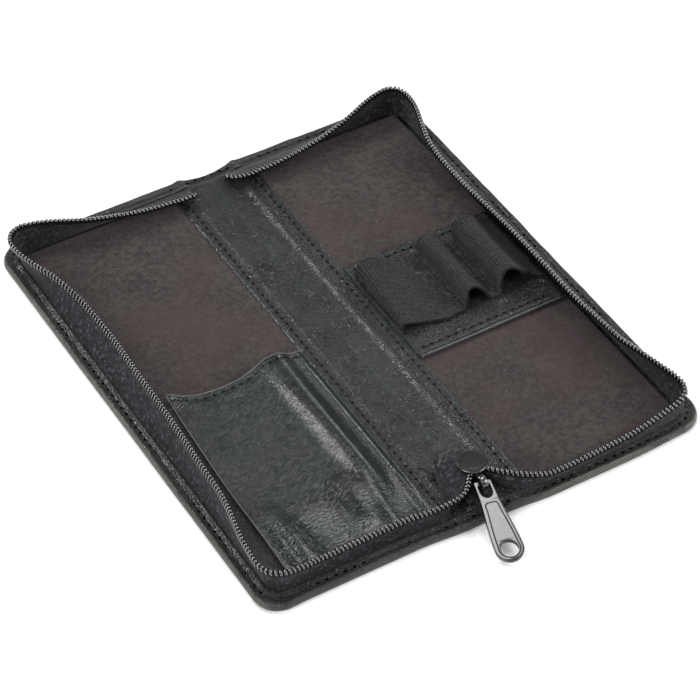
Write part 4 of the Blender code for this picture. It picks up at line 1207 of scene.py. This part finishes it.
# strong grooves run along the rolled left side of each loop and fade towards its top
ribs_at = []
for x_in, cnt, dp in ((17.2, 6, 0.24), (41.4, 5, 0.17), (55.6, 6, 0.17)):
    i0 = int(np.argmin(np.abs(mid_x - x_in)))
    for k in range(cnt):
        ribs_at.append((ps[i0] + 0.5 + 0.92 * k, dp * (1 - 0.12 * k)))
groove = np.zeros(NUP)
for p0, dp in ribs_at:
    groove += dp * bump_at(ps, p0, 0.24)
fine_s = 0.045 * np.cos(2 * math.pi * ps / 0.92)
for j, t in enumerate(np.linspace(0, 1, NV)):
    a = near_e * (1 - t) + far_e * t
    tg = np.gradient(a, axis=0)
    tg /= np.maximum(np.linalg.norm(tg, axis=1, keepdims=True), 1e-9)
    nm = np.stack([-tg[:, 1], tg[:, 0]], 1)
    loop_mask = smoothstep((a[:, 1] - 5.6) / 1.0)
    y = y_near * (1 - t) + y_far * t
    length = by1 - by0
    e = min(t, 1 - t) * length
    lenrib = 0.06 * np.cos(2 * math.pi * y / 1.05)
    selv = 0.16 * float(bump_at(e, 0.55, 0.45))
    sag = -0.45 * math.sin(math.pi * t) * loop_mask
    flare = 0.30 * (1 - float(smoothstep(e / 4.0))) * loop_mask
    rough_ = 0.10 * fbm(mid_x, y, 1.1, 171, 2) * (1 - 0.6 * loop_mask) + 0.06 * fbm(mid_x, y, 3.0, 173, 2)
    q = a + nm * (lenrib + fine_s - groove + selv + sag + flare + rough_)[:, None]
    dy = 0.40 * np.sin(ps * 0.55 + 0.7) * (1 - float(smoothstep(e / 6.0)))
    P[:, j, 0], P[:, j, 1], P[:, j, 2] = q[:, 0], y + dy * (1 if t < 0.5 else -1), q[:, 1]
    N3[:, j, 0], N3[:, j, 2] = nm[:, 0], nm[:, 1]
band = slab("elastic_loops_webbing", P, 0.86, ELASTIC, rim=0.34, uv_scale=1, smooth_angle=0, N=N3)
# where it's sewn flat between the loops the webbing is crushed and rougher; its darker colour there is painted shade of
# the valleys beside the tall loops
band.data.materials.append(ELASTIC_ROUGH_SHADED)
for poly in band.data.polygons:
    c = poly.center / MM
    t_ = (c.y - by0) / (by1 - by0)
    flat_shaded_zone = (40.8 - 8.5 * t_ < c.x < 41.0) or (51.0 < c.x < 55.3)
    poly.material_index = 1 if flat_shaded_zone and c.z < 6.4 else 0
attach(band, "right_panel")
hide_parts("elastic_band")
BAND_Z = 4.3
eth = Pile()
for xr, sd in ((16.95, 51), (17.75, 52), (40.4, 53), (52.6, 54), (54.4, 55), (71.9, 56)):
    yy = np.arange(by0 - (2.0 if xr < 20 else 0.2), by1 + 0.4, 0.4)
    inside = (yy > by0) & (yy < by1)
    zz = np.where(inside, BAND_Z + 1.0, 4.1)
    LP = np.stack([np.full_like(yy, xr), yy, zz], 1)
    stitch_row(eth, None, LP, np.tile([0, 0, 1.0], (len(yy), 1)), pitch=2.1, stitch=1.6, radius=0.21, seed=sd, arch=0.16)
for o in (th.make("patch_stitches", THREAD), ho.make("patch_needle_holes", HOLE_PAINTED_SHADE), eth.make("elastic_seam_stitches", THREAD_DARK)):
    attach(o, "right_panel")

# ================================================================== the slider
SX, SY, STOP, SR = 1.0, -79.5, 12.2, 5.2
pile = Pile()


def lathe(profile, cx, cy, sides=64, sy=1.0):
    V, F = [], []
    n = len(profile)
    for i, (r, z) in enumerate(profile):
        for k in range(sides):
            a = 2 * math.pi * k / sides
            V.append((cx + r * math.cos(a), cy + sy * r * math.sin(a), z))
    F = grid_faces(n, sides, 0, wrap_v=True)
    F.append(tuple(range(sides)))
    F.append(tuple(reversed(range((n - 1) * sides, n * sides))))
    return np.array(V, float), F


cap_prof = [(0.15, STOP + 0.10), (1.6, STOP + 0.09), (3.0, STOP + 0.05), (4.0, STOP - 0.02), (4.45, STOP - 0.06), (4.62, STOP - 0.03), (4.85, STOP + 0.02),
            (5.05, STOP - 0.05), (5.19, STOP - 0.22), (5.22, STOP - 0.50), (5.16, STOP - 0.80), (5.0, STOP - 1.0), (4.7, STOP - 1.08), (3.0, STOP - 1.08), (0.15, STOP - 1.08)]
pile.add(*lathe(cap_prof, SX, SY))
plate_prof = [(0.15, 6.28), (3.6, 6.28), (4.1, 6.20), (4.36, 5.98), (4.38, 5.68), (4.2, 5.42), (3.7, 5.32), (0.15, 5.32)]
pile.add(*lathe(plate_prof, SX, SY, sy=1.07))
body_ob = pile.make("slider_cap_and_plate", CAP_METAL, warped=False, smooth_angle=35)
body_ob.data.materials.append(METAL)
for poly in body_ob.data.polygons:
    c = poly.center / MM
    poly.material_index = 1 if math.hypot(c.x - SX, c.y - SY) > 4.95 and c.z > 10.5 else 0
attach(body_ob, "slider")
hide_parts("slider_body")
# wedge post between the two coils, and the guide flanges under the cap's sides
pile = Pile()
wedge = [(-1.35, -83.35), (-0.9, -83.8), (0.0, -83.95), (0.9, -83.8), (1.35, -83.35), (1.1, -81.6), (0.65, -79.8), (0.35, -79.2), (-0.35, -79.2), (-0.65, -79.8), (-1.1, -81.6)]
V, F = [], []
levels = [(0.94, 5.95), (1.0, 6.2), (1.0, 8.5), (1.0, 10.9), (0.94, 11.2)]
mcx, mcy = 0.0, -81.6
for sc, z in levels:
    for wx, wy in wedge:
        V.append((SX + mcx + (wx - mcx) * sc, mcy + (wy - mcy) * sc, z))
m = len(wedge)
F = grid_faces(len(levels), m, 0, wrap_v=True) + [tuple(range(m)), tuple(reversed(range((len(levels) - 1) * m, len(levels) * m)))]
pile.add(np.array(V), F)
for sgn in (-1, 1):
    aa = np.linspace(math.radians(-38), math.radians(42), 16)
    V, F = [], []
    for a in aa:
        for rr, z in ((4.55, 11.15), (5.02, 11.15), (5.02, 10.62), (4.9, 10.5), (4.65, 10.5), (4.55, 10.62)):
            V.append((SX + sgn * rr * math.cos(a), SY + rr * math.sin(a), z))
    F = grid_faces(len(aa), 6, 0, wrap_v=True) + [tuple(range(6)), tuple(reversed(range((len(aa) - 1) * 6, len(aa) * 6)))]
    pile.add(np.array(V), F)
post_ob = pile.make("slider_wedge_and_flanges", METAL, warped=False, smooth_angle=35)
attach(post_ob, "slider")

# bail: a rounded strap bent into a C, with a small foot where it meets the plate
ppx, ppy, ppz = 0.6, -86.5, 8.0
path = []
for i in range(40):
    a = math.radians(112 + (250 - 112) * i / 39)
    path.append((ppy + 0.3 + 2.15 * math.cos(a), ppz + 0.15 + 2.35 * math.sin(a)))
path = [(-83.2, 10.55), (-83.8, 10.42), (-84.4, 10.40)] + path + [(-86.0, 5.95), (-85.4, 5.92), (-84.9, 5.98)]
bp_, _ = spline(np.array([(ppx, y, z) for y, z in path]), step=0.22)
tgt = np.gradient(bp_, axis=0)
tgt /= np.linalg.norm(tgt, axis=1, keepdims=True)
side_v = np.array([1.0, 0, 0])
V = []
sec = []
for k in range(20):
    a = 2 * math.pi * k / 20
    sec.append((1.08 * math.copysign(abs(math.cos(a)) ** 0.55, math.cos(a)), 0.37 * math.copysign(abs(math.sin(a)) ** 0.75, math.sin(a))))
for p, t in zip(bp_, tgt):
    up_ = np.cross(side_v, t)
    for a, b in sec:
        V.append(p + side_v * a + up_ * b)
pile = Pile()
pile.add(np.array(V), grid_faces(len(bp_), 20, 0, wrap_v=True) + [tuple(range(20)), tuple(reversed(range((len(bp_) - 1) * 20, len(bp_) * 20)))])
bail_ob = pile.make("slider_bail_strap", METAL, warped=False, smooth_angle=0)
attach(bail_ob, "slider")
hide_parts("slider_bail")

# ==================================================================== pull tab
W_TOP, W_TIP, LEN = 5.9, 9.4, 29.9


def curve_plate(name, loops, z0, z1, bevel=0.0):
    cu = bpy.data.curves.new(name, "CURVE")
    cu.dimensions = "2D"
    cu.fill_mode = "BOTH"
    cu.extrude = ((z1 - z0) / 2 - bevel) * MM
    cu.bevel_depth = bevel * MM
    cu.offset = -bevel * MM
    cu.bevel_resolution = 4
    for loop in loops:
        sp = cu.splines.new("POLY")
        sp.points.add(len(loop) - 1)
        for p, (x, y) in zip(sp.points, loop):
            p.co = (x * MM, y * MM, 0.0, 1.0)
        sp.use_cyclic_u = True
    ob = bpy.data.objects.new(name, cu)
    scene.collection.objects.link(ob)
    ob.location = (0, 0, (z0 + z1) / 2 * MM)
    bpy.context.view_layer.update()
    me = bpy.data.meshes.new_from_object(ob.evaluated_get(bpy.context.evaluated_depsgraph_get()))
    me.transform(ob.matrix_world)
    bpy.data.objects.remove(ob, do_unlink=True)
    bm = bmesh.new()
    bm.from_mesh(me)
    bmesh.ops.remove_doubles(bm, verts=bm.verts, dist=1e-6)
    bmesh.ops.recalc_face_normals(bm, faces=bm.faces)
    bm.to_mesh(me)
    bm.free()
    out = bpy.data.objects.new(name, me)
    scene.collection.objects.link(out)
    return out


y_round = -(LEN - W_TIP / 2 - 0.75)
outer = []
half = [(W_TOP / 2 - 0.55, 0.78), (W_TOP / 2 - 0.15, 0.60), (W_TOP / 2, 0.2), (W_TOP / 2, -1.4)]
for i in range(13):                          # the sides run out to the tip's width in one easy line
    t = i / 12
    half.append((W_TOP / 2 + (W_TIP / 2 - W_TOP / 2) * float(smoothstep(t)) ** 0.95, -2.4 + (y_round + 2.4) * t))
for i in range(1, 25):
    a = -math.pi / 2 * i / 24
    half.append((W_TIP / 2 * math.cos(a), y_round + W_TIP / 2 * math.sin(a)))
outer = half + [(-x, y) for x, y in half[-2::-1]]
slot_loop = [(1.9, -0.78), (-1.9, -0.78), (-2.0, -1.4), (-2.0, -3.1)]
for i in range(17):                          # the far end of the slot is a pointed arch
    a = math.pi + math.pi * i / 16
    slot_loop.append((2.0 * math.cos(a), -3.35 + 2.25 * math.sin(a)))
slot_loop += [(2.0, -3.1), (2.0, -1.4)]
hole_loop = [(2.88 * math.cos(2 * math.pi * i / 56), y_round - 0.3 + 2.88 * math.sin(2 * math.pi * i / 56)) for i in range(56)]
pull = curve_plate("pull_tab_plate", [outer, slot_loop, hole_loop], -0.74, 0.74, 0.20)
# a narrow groove cut round the field, on both faces
inner = []
for i in range(9):
    a = math.pi / 2 * (1 - i / 8)
    inner.append((0.90 + 1.45 * math.cos(a), -8.75 + 1.45 * math.sin(a)))
for i in range(1, 13):
    t = i / 12
    y = -8.9 + (y_round + 8.9) * t
    tt_ = (y + 2.4) / (y_round + 2.4)
    wx = W_TOP / 2 + (W_TIP / 2 - W_TOP / 2) * float(smoothstep(tt_)) ** 0.95 - 1.12
    inner.append((wx, y))
ri = W_TIP / 2 - 0.78
field = inner[:-1]
for i in range(0, 25):
    a = -math.pi / 2 * i / 24 + 0.0
    field.append(((W_TIP / 2 - 0.95) * math.cos(a), y_round + (W_TIP / 2 - 0.95) * math.sin(a)))
field = field + [(-x, y) for x, y in field[-2::-1]]
ring_hole = [(3.62 * math.cos(2 * math.pi * i / 56), y_round + 0.1 + 3.62 * math.sin(2 * math.pi * i / 56)) for i in range(56)]


def inset_line(loop, width):
    """The loop moved inward by width; with the loop itself it bounds a narrow closed track."""
    L = np.array(loop)
    nxt, prv = np.roll(L, -1, 0), np.roll(L, 1, 0)
    t = nxt - prv
    t /= np.maximum(np.linalg.norm(t, axis=1, keepdims=True), 1e-9)
    n = np.stack([t[:, 1], -t[:, 0]], 1)
    c = L.mean(0)
    if ((L - c) * n).sum() < 0:
        n = -n
    return (L - n * width).tolist()


cut = []
for z0, z1 in ((0.60, 1.2), (-1.2, -0.60)):
    c = curve_plate("field_cut", [field, inset_line(field, 0.46)], z0, z1, 0.0)
    cut.append(c)
for c in cut:
    md = pull.modifiers.new("cut", "BOOLEAN")
    md.operation = "DIFFERENCE"
    md.solver = "EXACT"
    md.object = c
bpy.context.view_layer.update()
me = bpy.data.meshes.new_from_object(pull.evaluated_get(bpy.context.evaluated_depsgraph_get()))
pull.modifiers.clear()
pull.data = me
for c in cut:
    bpy.data.objects.remove(c, do_unlink=True)
me.materials.clear()
me.materials.append(PULL_METAL)
me.materials.append(GROOVE_PAINTED_SHADE)
# the groove floors take the dark material: painted shade
for poly in me.polygons:
    zc = poly.center.z / MM
    poly.material_index = 1 if (abs(poly.normal.z) > 0.9 and 0.55 < abs(zc) < 0.65) else 0
me.shade_smooth()
me.set_sharp_from_angle(angle=math.radians(30))
M = Matrix.Translation(Vector((ppx, ppy, ppz)) * MM) @ Matrix.Rotation(math.radians(-12), 4, "Z") @ Matrix.Rotation(math.radians(12), 4, "X")
me.transform(M)
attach(pull, "pull_tab")
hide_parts("zip_puller")

# ------------------------------------------------------- CAD pieces that stay
for nme, mt in (("board_left", BOARD), ("board_right", BOARD), ("lining_spine", SUEDE), ("zip_bottom_stop", METAL)):
    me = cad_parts[nme].data
    me.materials.clear()
    me.materials.append(mt)
    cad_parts[nme].data.shade_smooth()
    me.set_sharp_from_angle(angle=math.radians(35))

# =================================================== floor, light and camera
fm, nt, p = new_material("studio_floor")
p.inputs["Roughness"].default_value = 0.9
p.inputs["Base Color"].default_value = (0.96, 0.96, 0.96, 1.0)
bm = bmesh.new()
bmesh.ops.create_grid(bm, x_segments=4, y_segments=4, size=3.0)
me = bpy.data.meshes.new("floor")
bm.to_mesh(me)
bm.free()
floor = bpy.data.objects.new("floor", me)
me.materials.append(fm)
scene.collection.objects.link(floor)

world = bpy.data.worlds.new("studio_world")
scene.world = world
world.use_nodes = True
world.node_tree.nodes["Background"].inputs["Color"].default_value = (0.97, 0.985, 1.0, 1.0)
world.node_tree.nodes["Background"].inputs["Strength"].default_value = 0.24


def area(name, loc, target, size, power, colour=(1, 1, 1)):
    ld = bpy.data.lights.new(name, "AREA")
    ld.shape = "RECTANGLE"
    ld.size, ld.size_y = size
    ld.energy = power
    ld.color = colour
    ob = bpy.data.objects.new(name, ld)
    scene.collection.objects.link(ob)
    ob.location = loc
    ob.rotation_euler = (Vector(target) - Vector(loc)).to_track_quat("-Z", "Y").to_euler()
    return ob


area("softbox_top", (0.27, 0.20, 0.94), (0.0, 0.0, 0.0), (0.34, 0.34), 3.0)
area("softbox_back", (-0.25, 0.60, 0.74), (0.0, 0.0, 0.0), (0.44, 0.26), 6.0)
area("softbox_back_right", (0.80, 0.55, 0.50), (0.0, 0.0, 0.0), (0.40, 0.30), 2.0)
area("fill_right", (0.80, -0.70, 0.62), (0.0, 0.0, 0.0), (0.8, 0.7), 11.0)
area("fill_left", (-0.95, -0.35, 0.66), (0.0, 0.0, 0.0), (0.8, 0.7), 11.0)

cam = bpy.data.cameras.new("camera")
cam.sensor_width = 36.0
cam.lens = 2760.27 / 700.0 * 36.0
cam.clip_start, cam.clip_end = 0.01, 20.0
cam_ob = bpy.data.objects.new("camera", cam)
scene.collection.objects.link(cam_ob)
az, el, dist = math.radians(-30.79), math.radians(44.38), 0.9217
back = Vector((math.sin(az) * math.cos(el), -math.cos(az) * math.cos(el), math.sin(el)))
right = Vector((math.cos(az), math.sin(az), 0.0))
upv = back.cross(right)
rot = Matrix((right, upv, back)).transposed()
cam_ob.matrix_world = Matrix.Translation(Vector((-0.00018, -0.00652, 0.0)) + back * dist) @ rot.to_4x4()
scene.camera = cam_ob
scene.view_settings.view_transform = "Standard"
